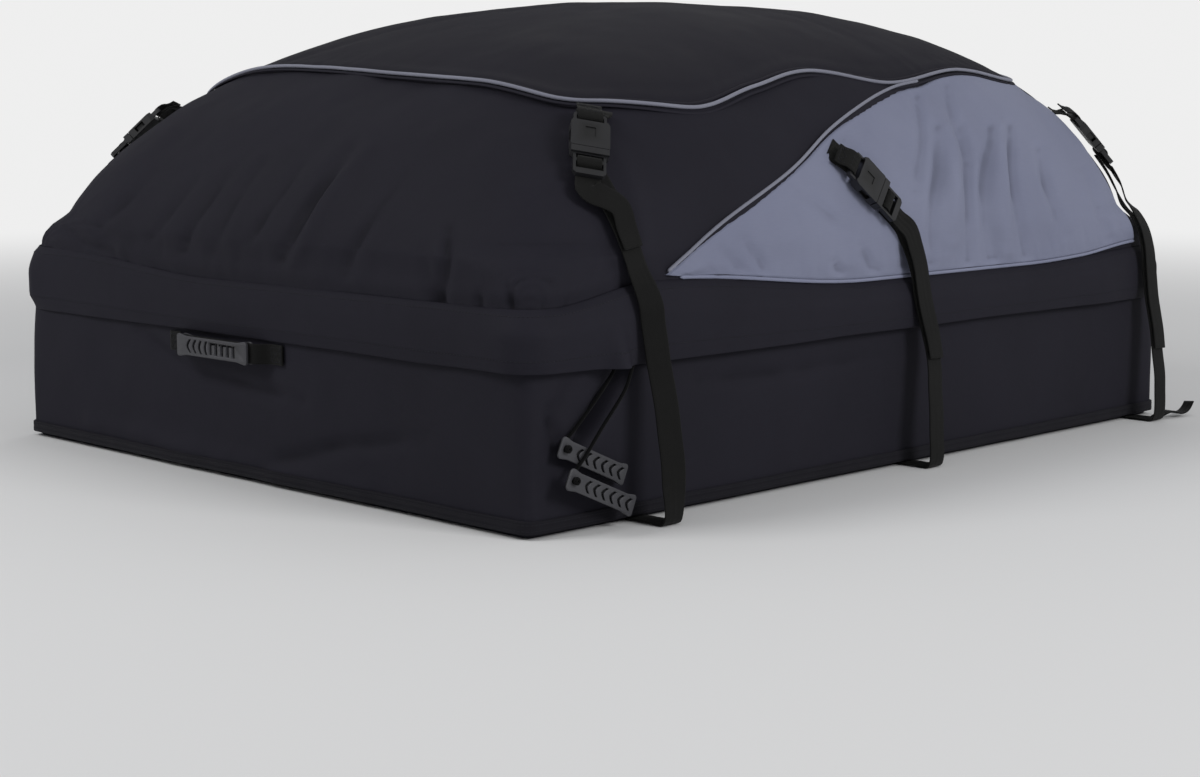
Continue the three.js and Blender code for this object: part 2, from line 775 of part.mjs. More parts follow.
// Distances along the zip line, close together round the corners.
function zipStations(start, end, straightStep, cornerSteps) {
  const stops = [start];
  const corners = [
    [FLAP_REAR_REACH, QUARTER],
    [LEFT_START, LONG_RUN],
    [LEFT_START + LONG_RUN, QUARTER],
    [LEFT_START + LONG_RUN + QUARTER, CROSS_RUN],
    [LEFT_START + LONG_RUN + QUARTER + CROSS_RUN, QUARTER],
    [LEFT_START + LONG_RUN + 2 * QUARTER + CROSS_RUN, LONG_RUN],
    [LEFT_START + 2 * LONG_RUN + 2 * QUARTER + CROSS_RUN, QUARTER],
  ];
  for (const [from, run] of corners) {
    const steps = run === QUARTER ? cornerSteps : Math.round(run / straightStep);
    for (let i = 0; i <= steps; i++) stops.push(from + (run * i) / steps);
    if (run !== QUARTER) stops.push(from + CORNER_LEAD, from + run - CORNER_LEAD);
  }
  for (const lead of [CORNER_LEAD, 2 * CORNER_LEAD]) {
    stops.push(FLAP_REAR_REACH - lead, FLAP_RUN - FLAP_REAR_REACH + lead);
  }
  stops.push(end);
  const inside = stops.filter((d) => d >= start && d <= end).sort((a, b) => a - b);
  return inside.filter((d, i) => i === 0 || d - inside[i - 1] > 1);
}

const ZIP_START = LEFT_START + ZIP_REAR_SETBACK - ZIP_CORNER_RADIUS;
const TAPE_OUT = LAY_GAP + ZIP_TAPE_THICKNESS;
const CHAIN_OUT = TAPE_OUT + ZIP_CHAIN_THICKNESS;

function zipChain() {
  const low = ZIP_HEIGHT - ZIP_TAPE_WIDTH / 2;
  const high = ZIP_HEIGHT + ZIP_TAPE_WIDTH / 2;
  const chainLow = ZIP_HEIGHT - ZIP_CHAIN_WIDTH / 2;
  const chainHigh = ZIP_HEIGHT + ZIP_CHAIN_WIDTH / 2;
  const rings = zipStations(ZIP_START, FLAP_RUN - ZIP_START, 80, 5).map((d) => {
    const place = zipLine(d);
    const inner = LAY_GAP - wallInset(place, low);
    const at = (out, z) => offZipLine(place, out, z);
    return [
      at(inner, low),
      at(inner, high),
      at(TAPE_OUT, high),
      at(TAPE_OUT, chainHigh),
      at(CHAIN_OUT, chainHigh),
      at(CHAIN_OUT, chainLow),
      at(TAPE_OUT, chainLow),
      at(TAPE_OUT, low),
    ];
  });
  return ringLoft(rings);
}

add("zip_chain", zipChain(), "zip_coil");

// Storm flap: sewn along its top, hanging clear over the zip, lifted at the front left corner

const FLAP_CORNER_EASE = 1.2; // the sewn edge stands off a little more where it turns a corner
const FLAP_LIFT = 17;
const FLAP_LIFT_AT = HALF_LENGTH - 104;
const FLAP_LIFT_REACH = 15;

const distanceOfX = (x) => LEFT_START + x - (-HALF_LENGTH + ZIP_CORNER_RADIUS);

function stormFlap() {
  const stops = zipStations(0, FLAP_RUN, 80, 5);
  const lift = distanceOfX(FLAP_LIFT_AT);
  for (const extra of [-20, -10, 10, 20]) stops.push(lift + extra);
  stops.sort((a, b) => a - b);
  const distances = stops.filter((d, i) => i === 0 || d - stops[i - 1] > 4);
  const rows = [
    { share: 0, out: 0 },
    { share: 0.2, out: 0.93 },
    { share: 0.6, out: 1 },
    { share: 1, out: 0.97 },
  ];
  return sheet(distances.length - 1, rows.length - 1, (u, v) => {
    const d = distances[Math.round(u * (distances.length - 1))];
    const row = rows[Math.round(v * (rows.length - 1))];
    const place = zipLine(d);
    const side = sideSeam(place.p.x) * place.out.y ** 2;
    const end = place.out.x > 0 ? frontSeam(place.p.y) : SEAM_LOW + SEAM_REAR_RISE;
    const seam = side + end * place.out.x ** 2;
    const inset = wallInset(place, seam);
    const z = THREE.MathUtils.lerp(seam, FLAP_BOTTOM, row.share);
    const round = 2 * Math.abs(place.out.x * place.out.y);
    const sewn = 2 * LAY_GAP + FLAP_THICKNESS / 2 + FLAP_CORNER_EASE * round - inset;
    const peak = FLAP_LIFT * Math.exp(-(((d - lift) / FLAP_LIFT_REACH) ** 2)) * row.share ** 2;
    const out = THREE.MathUtils.lerp(sewn, FLAP_STAND, row.out) + peak;
    return {
      low: offZipLine(place, out - FLAP_THICKNESS / 2, z),
      high: offZipLine(place, out + FLAP_THICKNESS / 2, z),
    };
  });
}

add("storm_flap", stormFlap(), "black_fabric");

// Base hem: binding round the foot of the wall

function baseHem() {
  const inner = (z) => ringAt(z, -LAY_GAP);
  const outer = (z) => ringAt(z, -LAY_GAP - HEM_THICKNESS);
  const edges = [inner(HEM_LOW), inner(HEM_HIGH), outer(HEM_HIGH), outer(HEM_LOW)];
  return hoopLoft(angles.map((_, i) => edges.map((edge) => edge[i])));
}

add("base_hem", baseHem(), "black_fabric");

// Strap spines on the left side, from the sewn anchor down to the floor.
// Spine points are the distance in from the origin, and the level. settle beds the tab's end,
// over holds the strap off the flap, and turn faces its hanging part towards the front, in degrees.

const BARE_BED = LAY_GAP;
const PANEL_BED = PANEL_PROUD + CLEAR;

const STRAPS = {
  front: {
    origin: HALF_LENGTH,
    way: -1,
    bed: BARE_BED,
    settle: 0,
    over: 8,
    turn: 22,
    mouth: 78,
    tailLevel: 1.02,
    spine: [
      [183, 1.531],
      [140, 1.395],
      [125, 1.289],
      [134, 1.06],
      [139, 0.83],
      [144, 0.6],
      [145, 0.3],
      [145, 0],
    ],
  },
  middle: {
    origin: 0,
    way: 1,
    bed: PANEL_BED,
    settle: 0,
    over: 0,
    turn: 0,
    mouth: 78,
    tailLevel: 0.47,
    spine: [
      [88, 1.39],
      [43, 1.188],
      [-10, 1],
      [-22, 0.754],
      [-33, 0.532],
      [-26, 0.26],
      [-26, 0],
    ],
  },
  rear: {
    origin: -HALF_LENGTH,
    way: 1,
    bed: PANEL_BED,
    settle: 0.7,
    over: 1,
    turn: 0,
    mouth: 84,
    tailLevel: 0.36,
    spine: [
      [129, 1.543],
      [102, 1.426],
      [61, 1.242],
      [55, 0.95],
      [56, 0.78],
      [54, 0.58],
      [56, 0.3],
      [56, 0],
    ],
  },
};

const SPINE_SAMPLES = 160;
const FLOOR_LEVEL = 0.004;
const HANGING_HEIGHT = 45; // below this the webbing hangs plumb

// The line of a strap on the bag's surface, with the way along, out and across it.
function spineOf(strap) {
  const plan = new THREE.SplineCurve(
    strap.spine.map(([x, level]) => new THREE.Vector2(strap.origin + strap.way * x, level)),
  );
  const points = [];
  for (let i = 0; i <= SPINE_SAMPLES; i++) {
    const at = plan.getPoint(i / SPINE_SAMPLES);
    points.push(onSide(at.x, heightAt(Math.max(FLOOR_LEVEL, at.y))));
  }
  const lengths = [0];
  for (let i = 1; i <= SPINE_SAMPLES; i++) {
    lengths.push(lengths[i - 1] + points[i].distanceTo(points[i - 1]));
  }
  const at = (s) => {
    let i = 1;
    while (i < SPINE_SAMPLES && lengths[i] < s) i++;
    const part = (s - lengths[i - 1]) / Math.max(1e-6, lengths[i] - lengths[i - 1]);
    const p = points[i - 1].clone().lerp(points[i], THREE.MathUtils.clamp(part, 0, 1));
    const ahead = points[Math.min(SPINE_SAMPLES, i + 2)];
    const along = ahead.clone().sub(points[Math.max(0, i - 3)]).normalize();
    if (p.z < HANGING_HEIGHT) along.set(0, 0, -1);
    const out = normalAt(p);
    const across = out.clone().cross(along).normalize();
    return { p, along, out, across };
  };
  const lengthAtHeight = (z) => {
    let i = 1;
    while (i < SPINE_SAMPLES && points[i].z > z) i++;
    const part = (points[i - 1].z - z) / Math.max(1e-6, points[i - 1].z - points[i].z);
    return THREE.MathUtils.lerp(lengths[i - 1], lengths[i], THREE.MathUtils.clamp(part, 0, 1));
  };
  return { at, lengthAtHeight };
}

// How far a taut load strap lies off the bag at height z, before its bed is added.
const OFF_WALL = [
  [0, RAIL_STAND - 1],
  [20, RAIL_STAND],
  [60, RAIL_STAND - 2],
  [110, RAIL_STAND - 10],
  [FLAP_BOTTOM, FLAP_STAND + 7.5],
  [190, FLAP_STAND + 3],
  [206, FLAP_STAND + 2],
  [222, 9],
  [236, 5],
  [262, 0],
];

function offWall(z) {
  const last = OFF_WALL.at(-1);
  if (z >= last[0]) return last[1];
  let i = 1;
  while (OFF_WALL[i][0] < z) i++;
  const [z0, h0] = OFF_WALL[i - 1];
  const [z1, h1] = OFF_WALL[i];
  return THREE.MathUtils.lerp(h0, h1, (z - z0) / (z1 - z0));
}

const FOOT_HEIGHT = 1.8;
const TURN_LOW = 8;
const TURN_HIGH = 50;
const LAYER = WEBBING_THICKNESS + CLEAR + 0.4;

// Everything that one strap needs to place its webbing and its buckle.
function layoutOf(strap) {
  const spine = spineOf(strap);
  const lay = strap.bed + WEBBING_THICKNESS / 2;
  const frame = spine.at(strap.mouth);
  const middle = strap.bed + 8.7; // the buckle's mid height over the bag
  const onBag = (s, h) => {
    const { p, along, out, across } = spine.at(s);
    const hanging = 1 - THREE.MathUtils.smoothstep(p.z, SEAM_LOW, WALL_HEIGHT);
    const offFloor = THREE.MathUtils.smoothstep(p.z, TURN_LOW, TURN_HIGH);
    const angle = THREE.MathUtils.degToRad(strap.turn) * hanging * offFloor;
    return { middle: p.clone().addScaledVector(out, h), across: across.clone().applyAxisAngle(along, angle) };
  };
  const onBuckle = (u, h) => {
    const p = frame.p.clone().addScaledVector(frame.along, u).addScaledVector(frame.out, h);
    return { middle: p, across: frame.across };
  };
  const overWall = (z) => {
    const extra = strap.over * (1 - THREE.MathUtils.smoothstep(z, SEAM_LOW, WALL_HEIGHT));
    return Math.max(lay, offWall(z) + extra);
  };
  return { ...strap, spine, lay, frame, middle, onBag, onBuckle, overWall };
}

// Anchor tab: sewn at the seam, round the socket's bar and back onto itself
function anchorTab(k) {
  const bar = BAR_THICKNESS / 2 + CLEAR + WEBBING_THICKNESS / 2;
  const { lay, middle, onBag, onBuckle } = k;
  const start = k.mouth - 70;
  return ribbon(
    [
      onBag(start, lay - k.settle),
      onBag(start + 5, lay - k.settle),
      onBuckle(-58, lay + 1.2),
      onBuckle(-52, middle - bar - 1),
      onBuckle(-45.5, middle - bar),
      onBuckle(-40.6, middle - bar + 0.2),
      onBuckle(-38.8, middle - 2.4),
      onBuckle(-38.2, middle),
      onBuckle(-38.8, middle + 2.4),
      onBuckle(-40.6, middle + bar - 0.2),
      onBuckle(-45.5, middle + bar),
      onBuckle(-52, middle + bar - 1.4),
      onBuckle(-58, lay + 5.4),
      onBuckle(-65, lay + 3.4),
    ],
    WEBBING_WIDTH,
  );
}

// Load strap: from under the plug, down over the flap, round the rail to the foot of the wall
function loadStrap(k) {
  const { spine, lay, onBag, overWall } = k;
  const stations = [];
  const start = k.mouth + 17;
  const wallTop = spine.lengthAtHeight(262);
  const upper = Math.max(2, Math.round((wallTop - start) / 22));
  for (let i = 0; i < upper; i++) {
    const s = start + ((wallTop - start) * i) / upper;
    stations.push(onBag(s, lay));
  }
  for (const z of [262, 247, 236, 222, 206, 190, 172, FLAP_BOTTOM, 130, 110, 85, 60, 38, 20, 9]) {
    stations.push(onBag(spine.lengthAtHeight(z), overWall(z)));
  }
  const foot = spine.lengthAtHeight(FOOT_HEIGHT);
  const stand = overWall(FOOT_HEIGHT);
  const toe = LAY_GAP - FOOT_RADIUS + 3;
  for (const h of [stand - 3, stand / 2, toe]) stations.push(onBag(foot, h));
  stations.at(-3).middle.setZ(FOOT_HEIGHT);
  return ribbon(stations, WEBBING_WIDTH);
}

// Adjuster loop and tail: through the plug's ladder bars and down over the load strap
function loopAndTail(k) {
  const { spine, lay, middle, onBag, onBuckle, overWall } = k;
  const bar = BAR_THICKNESS / 2 + CLEAR + WEBBING_THICKNESS / 2;
  const under = lay + LAYER - 0.3;
  const stations = [
    onBuckle(48, under),
    onBuckle(30, under),
    onBuckle(15, under + 0.2),
    onBuckle(12.4, middle - 3.4),
    onBuckle(12, middle),
    onBuckle(12.8, middle + 2.8),
    onBuckle(15, middle + bar),
    onBuckle(18.6, middle + bar),
    onBuckle(21.4, middle + 2.4),
    onBuckle(22.6, middle - 1),
    onBuckle(25, middle - bar + 0.2),
    onBuckle(28, middle - bar),
    onBuckle(35, middle - bar),
    onBuckle(46, middle - bar - 0.4),
  ];
  const end = spine.lengthAtHeight(heightAt(k.tailLevel));
  const from = k.mouth + 62;
  const steps = Math.max(1, Math.round((end - from) / 20));
  for (let i = 0; i <= steps; i++) {
    const s = from + ((end - from) * i) / steps;
    const z = spine.at(s).p.z;
    const ease = 1 - i / steps;
    stations.push(onBag(s, overWall(z) + LAYER + 1.5 + 4 * ease * ease));
  }
  return ribbon(stations, LOOP_WIDTH);
}

// Buckle, drawn lying flat: x runs down the strap from the socket's mouth, z is up off the bag.

function buckleSocket() {
  const half = BUCKLE_WIDTH / 2;
  const neck = WEBBING_WIDTH / 2 + 3.6;
  const slot = WEBBING_WIDTH / 2 + 0.9;
  const bevel = 3;
  const tail = -SOCKET_LENGTH - SOCKET_TAIL;
  const outline = [
    [-0.2, -half + 1],
    [-0.2, half - 1],
    [-2, half],
    [-SOCKET_LENGTH + bevel, half],
    [-SOCKET_LENGTH - 2, neck],
    [tail + 2, neck],
    [tail, neck - 2],
    [tail, -neck + 2],
    [tail + 2, -neck],
    [-SOCKET_LENGTH - 2, -neck],
    [-SOCKET_LENGTH + bevel, -half],
    [-2, -half],
  ];
  const thick = BUCKLE_THICKNESS / 2;
  const thin = BAR_THICKNESS / 2;
  const inner = half - BUCKLE_WALL;
  const depth = PRONG_LENGTH + 1.5;
  const shell = thick - 2;
  let body = solid(slab(outline, -thick, thick));
  const cut = (g) => {
    body = body.subtract(solid(g));
  };
  cut(block(-42, -SOCKET_LENGTH, -slot, slot, -thick - 1, thick + 1));
  cut(block(tail - 1, -SOCKET_LENGTH - 1, -half, half, thin, thick + 1));
  cut(block(tail - 1, -SOCKET_LENGTH - 1, -half, half, -thick - 1, -thin));
  cut(block(-depth, 1, -inner, inner, -shell, shell));
  cut(block(-22, -9, -half - 1, half + 1, -shell, shell));
  cut(block(-26, -14, -5, 5, thick - 0.8, thick + 1));
  return geometryOf(body);
}

const LADDER_SLOTS = [
  [9.4, 14.6],
  [18.8, 27],
];

function bucklePlug() {
  const half = BUCKLE_WIDTH / 2 - 0.5;
  const neck = WEBBING_WIDTH / 2 + 3.4;
  const reach = BUCKLE_WIDTH / 2 - BUCKLE_WALL - CLEAR;
  const slot = WEBBING_WIDTH / 2 + 0.7;
  const start = CLEAR;
  const arm = (side) => [
    [start, side * 12.6],
    [-6, side * 12.2],
    [-9, side * 12.6],
    [-11, side * reach],
    [-19, side * reach],
    [-PRONG_LENGTH + 2, side * 12.4],
    [-PRONG_LENGTH, side * 10.5],
    [-PRONG_LENGTH + 3, side * 9.6],
    [-14, side * 10.4],
    [-6, side * 9.4],
    [start, side * 9],
  ];
  const guide = [
    [start, 2.4],
    [-23, 2.2],
    [-25, 0],
    [-23, -2.2],
    [start, -2.4],
  ];
  const outline = [
    ...arm(1).toReversed(),
    [start, half],
    [PLUG_COLLAR, half],
    [PLUG_COLLAR + 3, neck],
    [PLUG_LENGTH - 3, neck],
    [PLUG_LENGTH, neck - 3],
    [PLUG_LENGTH, -neck + 3],
    [PLUG_LENGTH - 3, -neck],
    [PLUG_COLLAR + 3, -neck],
    [PLUG_COLLAR, -half],
    [start, -half],
    ...arm(-1),
    ...guide.toReversed(),
  ];
  const thick = BUCKLE_THICKNESS / 2;
  const thin = BAR_THICKNESS / 2;
  const collar = block(start, PLUG_COLLAR, -half, half, -thick, thick);
  let body = solid(slab(outline, -thin, thin)).add(solid(collar));
  for (const [x0, x1] of LADDER_SLOTS) {
    body = body.subtract(solid(block(x0, x1, -slot, slot, -thick, thick)));
  }
  return geometryOf(body);
}

const socketShape = buckleSocket();
const plugShape = bucklePlug();

function onStrap(geometry, k) {
  const { along, across, out, p } = k.frame;
  const turn = new THREE.Matrix4().makeBasis(along, across.clone().negate(), out);
  const placed = geometry.index ? geometry.toNonIndexed() : geometry.clone();
  if (turn.determinant() < 0) turn.makeBasis(along, across, out);
  return placed.applyMatrix4(turn.setPosition(p.clone().addScaledVector(out, k.middle)));
}

for (const [name, strap] of Object.entries(STRAPS)) {
  const k = layoutOf(strap);
  const both = (piece, geometry, look) => {
    addBothSides(name + "_left_" + piece, name + "_right_" + piece, geometry, look);
  };
  both("anchor_tab", anchorTab(k), "webbing");
  both("socket", onStrap(socketShape, k), "black_plastic");
  both("plug", onStrap(plugShape, k), "black_plastic");
  both("loop_tail", loopAndTail(k), "webbing");
  both("load_strap", loadStrap(k), "webbing");
}

// Carry handle on the front wall: webbing sewn down at both ends, with a ridged grip

const HANDLE_END_REACH = 100;

function frontWall(y, z, out) {
  const plan = planAt(z);
  const across = (1 - Math.abs(y / plan.halfWidth) ** plan.power) ** (1 / plan.power);
  return new THREE.Vector3(plan.shift + plan.halfLength * across + out, y, z);
}

function handleWebbing() {
  const flat = LAY_GAP + WEBBING_THICKNESS / 2;
  const profile = [
    [-HANDLE_END_REACH, flat],
    [-HANDLE_END_REACH + 22, flat],
    [-HANDLE_GRIP_LENGTH / 2 - 3, HANDLE_STAND],
    [HANDLE_GRIP_LENGTH / 2 + 3, HANDLE_STAND],
    [HANDLE_END_REACH - 22, flat],
    [HANDLE_END_REACH, flat],
  ];
  const across = new THREE.Vector3(0, 0, 1);
  const stations = profile.map(([y, out]) => {
    return { middle: frontWall(HANDLE_CENTRE_Y + y, HANDLE_HEIGHT, out), across };
  });
  return ribbon(stations, WEBBING_WIDTH - 4);
}

const GRIP_RIDGES = 7;

// The grip lies flat while it is drawn: x along it, y across it, z its thickness.
function ridgedGrip(length, width, thickness, ridges) {
  const half = width / 2;
  const waist = half * 0.82;
  const end = length / 2;
  const outline = [
    [-end, -half + 3],
    [-end + 3, -half],
    [-end * 0.72, -waist],
    [end * 0.72, -waist],
    [end - 3, -half],
    [end, -half + 3],
    [end, half - 3],
    [end - 3, half],
    [end * 0.72, waist],
    [-end * 0.72, waist],
    [-end + 3, half],
    [-end, half - 3],
  ];
  let body = solid(slab(outline, -thickness / 2, thickness / 2));
  const pitch = (length * 0.7) / ridges;
  for (let i = 0; i < ridges; i++) {
    const x = (i - (ridges - 1) / 2) * pitch;
    const w = pitch * 0.24;
    const lean = pitch * 0.42;
    const bar = [
      [x - w - lean, -waist + 2.4],
      [x + w - lean, -waist + 2.4],
      [x + w + lean, 0],
      [x + w - lean, waist - 2.4],
      [x - w - lean, waist - 2.4],
      [x - w + lean, 0],
    ];
    body = body.add(solid(slab(bar, thickness / 2 - 1, thickness / 2 + 1.2)));
  }
  return body;
}

function handleGrip() {
  const shift = HANDLE_GRIP_THICKNESS / 2;
  const channel = WEBBING_THICKNESS / 2 + CLEAR;
  const half = (WEBBING_WIDTH - 4) / 2 + CLEAR;
  const body = ridgedGrip(HANDLE_GRIP_LENGTH, HANDLE_GRIP_WIDTH, HANDLE_GRIP_THICKNESS, GRIP_RIDGES);
  const slot = block(-shift - HANDLE_GRIP_LENGTH, HANDLE_GRIP_LENGTH, -half, half, -channel, channel);
  return geometryOf(body.subtract(solid(slot)));
}

add("front_handle_webbing", handleWebbing(), "webbing");

const handle = new THREE.Group();
handle.position.set(HALF_LENGTH + HANDLE_STAND, HANDLE_CENTRE_Y, HANDLE_HEIGHT);
handle.rotation.set(Math.PI / 2, Math.PI / 2, 0, "XYZ");
bag.add(handle);
add("front_handle_grip", handleGrip(), "grip_rubber", handle);

// Zip sliders, their cord leaders and ridged grips, near the front left corner

const SLIDER_LENGTH = 14;
const SLIDER_PLATE = 1.5;
const SLIDER_FLANGE = 2.2;
const BRIDGE_RADIUS = 1.1;
const KNOT_RADIUS = 4.4;
const SLIDER_GAP = 0.5;

// Leader points are the setback from the front, the drop below the zip, and the distance off the wall.
const PULLERS = {
  front: {
    sliderSetback: 116,
    eyeSetback: 38,
    eyeHeight: ZIP_HEIGHT - 96,
    gripOut: 8.2,
    leader: [
      [115.5, 5.9, 6.4],
      [110, 23, 6],
      [92, 48, 3.6],
      [60, 78, 2.9],
    ],
  },
  side: {
    sliderSetback: 134,
    eyeSetback: 38,
    eyeHeight: ZIP_HEIGHT - 124,
    gripOut: 19,
    leader: [
      [133.7, 5.9, 6.4],
      [131, 24, 6.4],
      [124, 35, 9],
      [112, 48, 14],
      [80, 82, 14.2],
      [58, 106, 14.2],
    ],
  },
};

function zipSlider(puller) {
  const x = HALF_LENGTH - puller.sliderSetback;
  const half = SLIDER_LENGTH / 2;
  const chainHalf = ZIP_CHAIN_WIDTH / 2 + SLIDER_GAP;
  const wide = chainHalf + SLIDER_FLANGE;
  const y0 = HALF_WIDTH + TAPE_OUT + SLIDER_GAP;
  const y1 = HALF_WIDTH + CHAIN_OUT + SLIDER_GAP;
  const y2 = y1 + SLIDER_PLATE;
  const z = ZIP_HEIGHT;
  let body = solid(block(x - half, x + half, y0, y2, z - wide, z + wide));
  const groove = block(x - half - 1, x + half + 1, y0 - 1, y1, z - chainHalf, z + chainHalf);
  body = body.subtract(solid(groove));
  const bridge = new THREE.CylinderGeometry(BRIDGE_RADIUS, BRIDGE_RADIUS, 7, 8);
  bridge.rotateX(Math.PI / 2).translate(x, y2 + BRIDGE_RADIUS * 0.8, z - wide + 3.5);
  return geometryOf(body.add(solid(bridge)));
}

// The cord leaves the slider, runs down the wall, through the grip's hole, and ends in a knot.
function zipLeader(puller) {
  const eyeX = HALF_LENGTH - puller.eyeSetback;
  const face = puller.gripOut - GRIP_THICKNESS / 2;
  const knotFloor = puller.gripOut + GRIP_THICKNESS / 2 + 1.2 + CLEAR;
  const points = puller.leader.map(([setback, drop, out]) => {
    return new THREE.Vector3(HALF_LENGTH - setback, HALF_WIDTH + out, ZIP_HEIGHT - drop);
  });
  const back = HALF_WIDTH + face - CORD_RADIUS - 2 * CLEAR;
  points.push(new THREE.Vector3(eyeX, back, puller.eyeHeight));
  const cord = solid(cordAlong(points, CORD_RADIUS, 16, 6));
  const knotAt = HALF_WIDTH + knotFloor + 1.8;
  const through = new THREE.CylinderGeometry(CORD_RADIUS, CORD_RADIUS, knotAt - back + CORD_RADIUS, 8);
  through.translate(eyeX, (knotAt + back - CORD_RADIUS) / 2, puller.eyeHeight);
  const knot = new THREE.SphereGeometry(KNOT_RADIUS, 8, 5);
  knot.scale(1, 0.4, 1).translate(eyeX, knotAt, puller.eyeHeight);
  return geometryOf(cord.add(solid(through)).add(solid(knot)));
}

function zipGrip() {
  const body = ridgedGrip(GRIP_LENGTH, GRIP_WIDTH, GRIP_THICKNESS, 5);
  const hole = new THREE.CylinderGeometry(GRIP_HOLE_RADIUS, GRIP_HOLE_RADIUS, GRIP_THICKNESS + 6, 12);
  hole.rotateX(Math.PI / 2).translate(-GRIP_LENGTH / 2 + 7, 0, 0);
  return geometryOf(body.subtract(solid(hole)));
}

const gripShape = zipGrip();

for (const [name, puller] of Object.entries(PULLERS)) {
  add("zip_slider_" + name, zipSlider(puller), "black_plastic");
  add("zip_leader_" + name, zipLeader(puller), "webbing");
  const pivot = new THREE.Group();
  pivot.position.set(
    HALF_LENGTH - puller.eyeSetback,
    HALF_WIDTH + puller.gripOut,
    puller.eyeHeight,
  );
  pivot.rotation.y = THREE.MathUtils.degToRad(-GRIP_DROOP);
  bag.add(pivot);
  const grip = add("zip_grip_" + name, gripShape.clone(), "grip_rubber", pivot);
  grip.rotation.set(-Math.PI / 2, 0, Math.PI);
  grip.position.x = -(GRIP_LENGTH / 2 - 7);
}

// Loose strap end that curls out at the rear left strap's foot

function rearStrapEnd() {
  const foot = layoutOf(STRAPS.rear).onBag(1e4, 26);
  const edge = foot.across.clone().setZ(0).normalize();
  if (edge.x > 0) edge.negate();
  const start = foot.middle.clone().addScaledVector(edge, WEBBING_WIDTH / 2 + CLEAR);
  const square = new THREE.Vector3(edge.y, -edge.x, 0);
  const profile = [
    [0, 0, FOOT_HEIGHT],
    [-10, 3, 6],
    [-22, 6.5, 8.4],
    [-36, 9, 4.6],
    [-48, 10, 5.4],
    [-57, 10, 9.6],
    [-64, 10, 16.5],
  ];
  const stations = profile.map(([x, y, z], i) => {
    const across = square.clone().lerp(new THREE.Vector3(0.25, 1, 0), i / profile.length);
    return { middle: new THREE.Vector3(start.x + x, start.y + y, z), across };
  });
  return ribbon(stations, WEBBING_WIDTH * 0.6);
}

add("rear_left_strap_end", rearStrapEnd(), "webbing");

export default bag;
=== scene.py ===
"""Soft roof cargo bag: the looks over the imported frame.

Shapes are worked out in millimetres and made in metres. x runs to the front, y to the car's left, z up.
"""

import json
import math

import bmesh
import bpy
import numpy as np
from mathutils import Matrix, Vector

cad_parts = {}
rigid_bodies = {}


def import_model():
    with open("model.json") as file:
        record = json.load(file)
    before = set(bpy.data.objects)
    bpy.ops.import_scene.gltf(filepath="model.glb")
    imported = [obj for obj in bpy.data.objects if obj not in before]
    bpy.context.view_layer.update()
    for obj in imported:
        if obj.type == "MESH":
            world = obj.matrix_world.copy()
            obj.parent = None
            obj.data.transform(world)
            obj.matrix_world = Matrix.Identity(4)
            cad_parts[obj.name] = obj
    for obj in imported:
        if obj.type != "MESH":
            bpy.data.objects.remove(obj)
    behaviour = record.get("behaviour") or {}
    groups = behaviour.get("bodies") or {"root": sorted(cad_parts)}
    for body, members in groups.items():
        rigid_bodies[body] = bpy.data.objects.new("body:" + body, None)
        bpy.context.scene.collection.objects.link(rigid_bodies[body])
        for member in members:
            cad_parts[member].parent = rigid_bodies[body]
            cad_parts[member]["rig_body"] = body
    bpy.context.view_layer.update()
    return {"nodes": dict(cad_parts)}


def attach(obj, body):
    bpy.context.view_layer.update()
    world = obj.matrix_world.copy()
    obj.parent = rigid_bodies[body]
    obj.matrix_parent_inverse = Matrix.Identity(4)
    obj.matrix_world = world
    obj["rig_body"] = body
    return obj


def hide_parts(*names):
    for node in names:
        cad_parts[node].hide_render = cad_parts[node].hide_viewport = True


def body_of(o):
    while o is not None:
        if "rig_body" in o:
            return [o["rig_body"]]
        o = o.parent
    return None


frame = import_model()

MM = 0.001

# The bag's surface: a rounded box whose plan changes with height

HALF_LENGTH, HALF_WIDTH = 546.0, 432.0
WALL_HEIGHT, CROWN_HEIGHT, CROWN_SETBACK = 252.0, 508.0, 42.4
DOME_HEIGHT = CROWN_HEIGHT - WALL_HEIGHT
BOX_TOP, BOX_BLEND = WALL_HEIGHT - 37, 53
# The plan's powers. 2 is an ellipse, and a large one is a box with nearly square corners.
FOOT_POWER, WALL_POWER, DOME_POWER, CROWN_POWER = 80, 24, 9, 3.23
# The powers by which the dome's height, length and width round over
RISE_POWER, LENGTH_POWER, WIDTH_POWER = 1.67, 2.28, 2.88
ZIP_HEIGHT, FLAP_BOTTOM, FLAP_STAND = 178.0, 152.0, 11.0
SEAM_LOW, SEAM_FRONT_RISE, SEAM_REAR_RISE = 205.0, 21.0, 9.0
PIPING_RADIUS, LAY_GAP = 2.4, 0.8


def smooth(x, low, high):
    t = np.clip((x - low) / (high - low), 0, 1)
    return t * t * (3 - 2 * t)


def stacked(*parts):
    """Coordinates joined to points along a new last axis."""
    return np.stack(np.broadcast_arrays(*parts), axis=-1)


def bell(x, half):
    return np.exp(-((x / half) ** 2))


def plan_at(z):
    """Half length, half width, power and shift of the bag's plan at height z."""
    rise = np.clip((z - WALL_HEIGHT) / DOME_HEIGHT, 0, 1)
    sine = rise ** (RISE_POWER / 2)
    cosine = np.sqrt(np.maximum(0, 1 - sine * sine))
    share = np.arcsin(np.clip(sine, 0, 1)) / (np.pi / 2)
    box = FOOT_POWER + (WALL_POWER - FOOT_POWER) * np.clip(z / BOX_TOP, 0, 1)
    dome = DOME_POWER + (CROWN_POWER - DOME_POWER) * share ** 0.7
    power = box + (dome - box) * smooth(z, BOX_TOP, BOX_TOP + BOX_BLEND)
    half_length = np.maximum(1e-3, HALF_LENGTH * cosine ** (2 / LENGTH_POWER))
    half_width = np.maximum(1e-3, HALF_WIDTH * cosine ** (2 / WIDTH_POWER))
    return half_length, half_width, power, -CROWN_SETBACK * rise


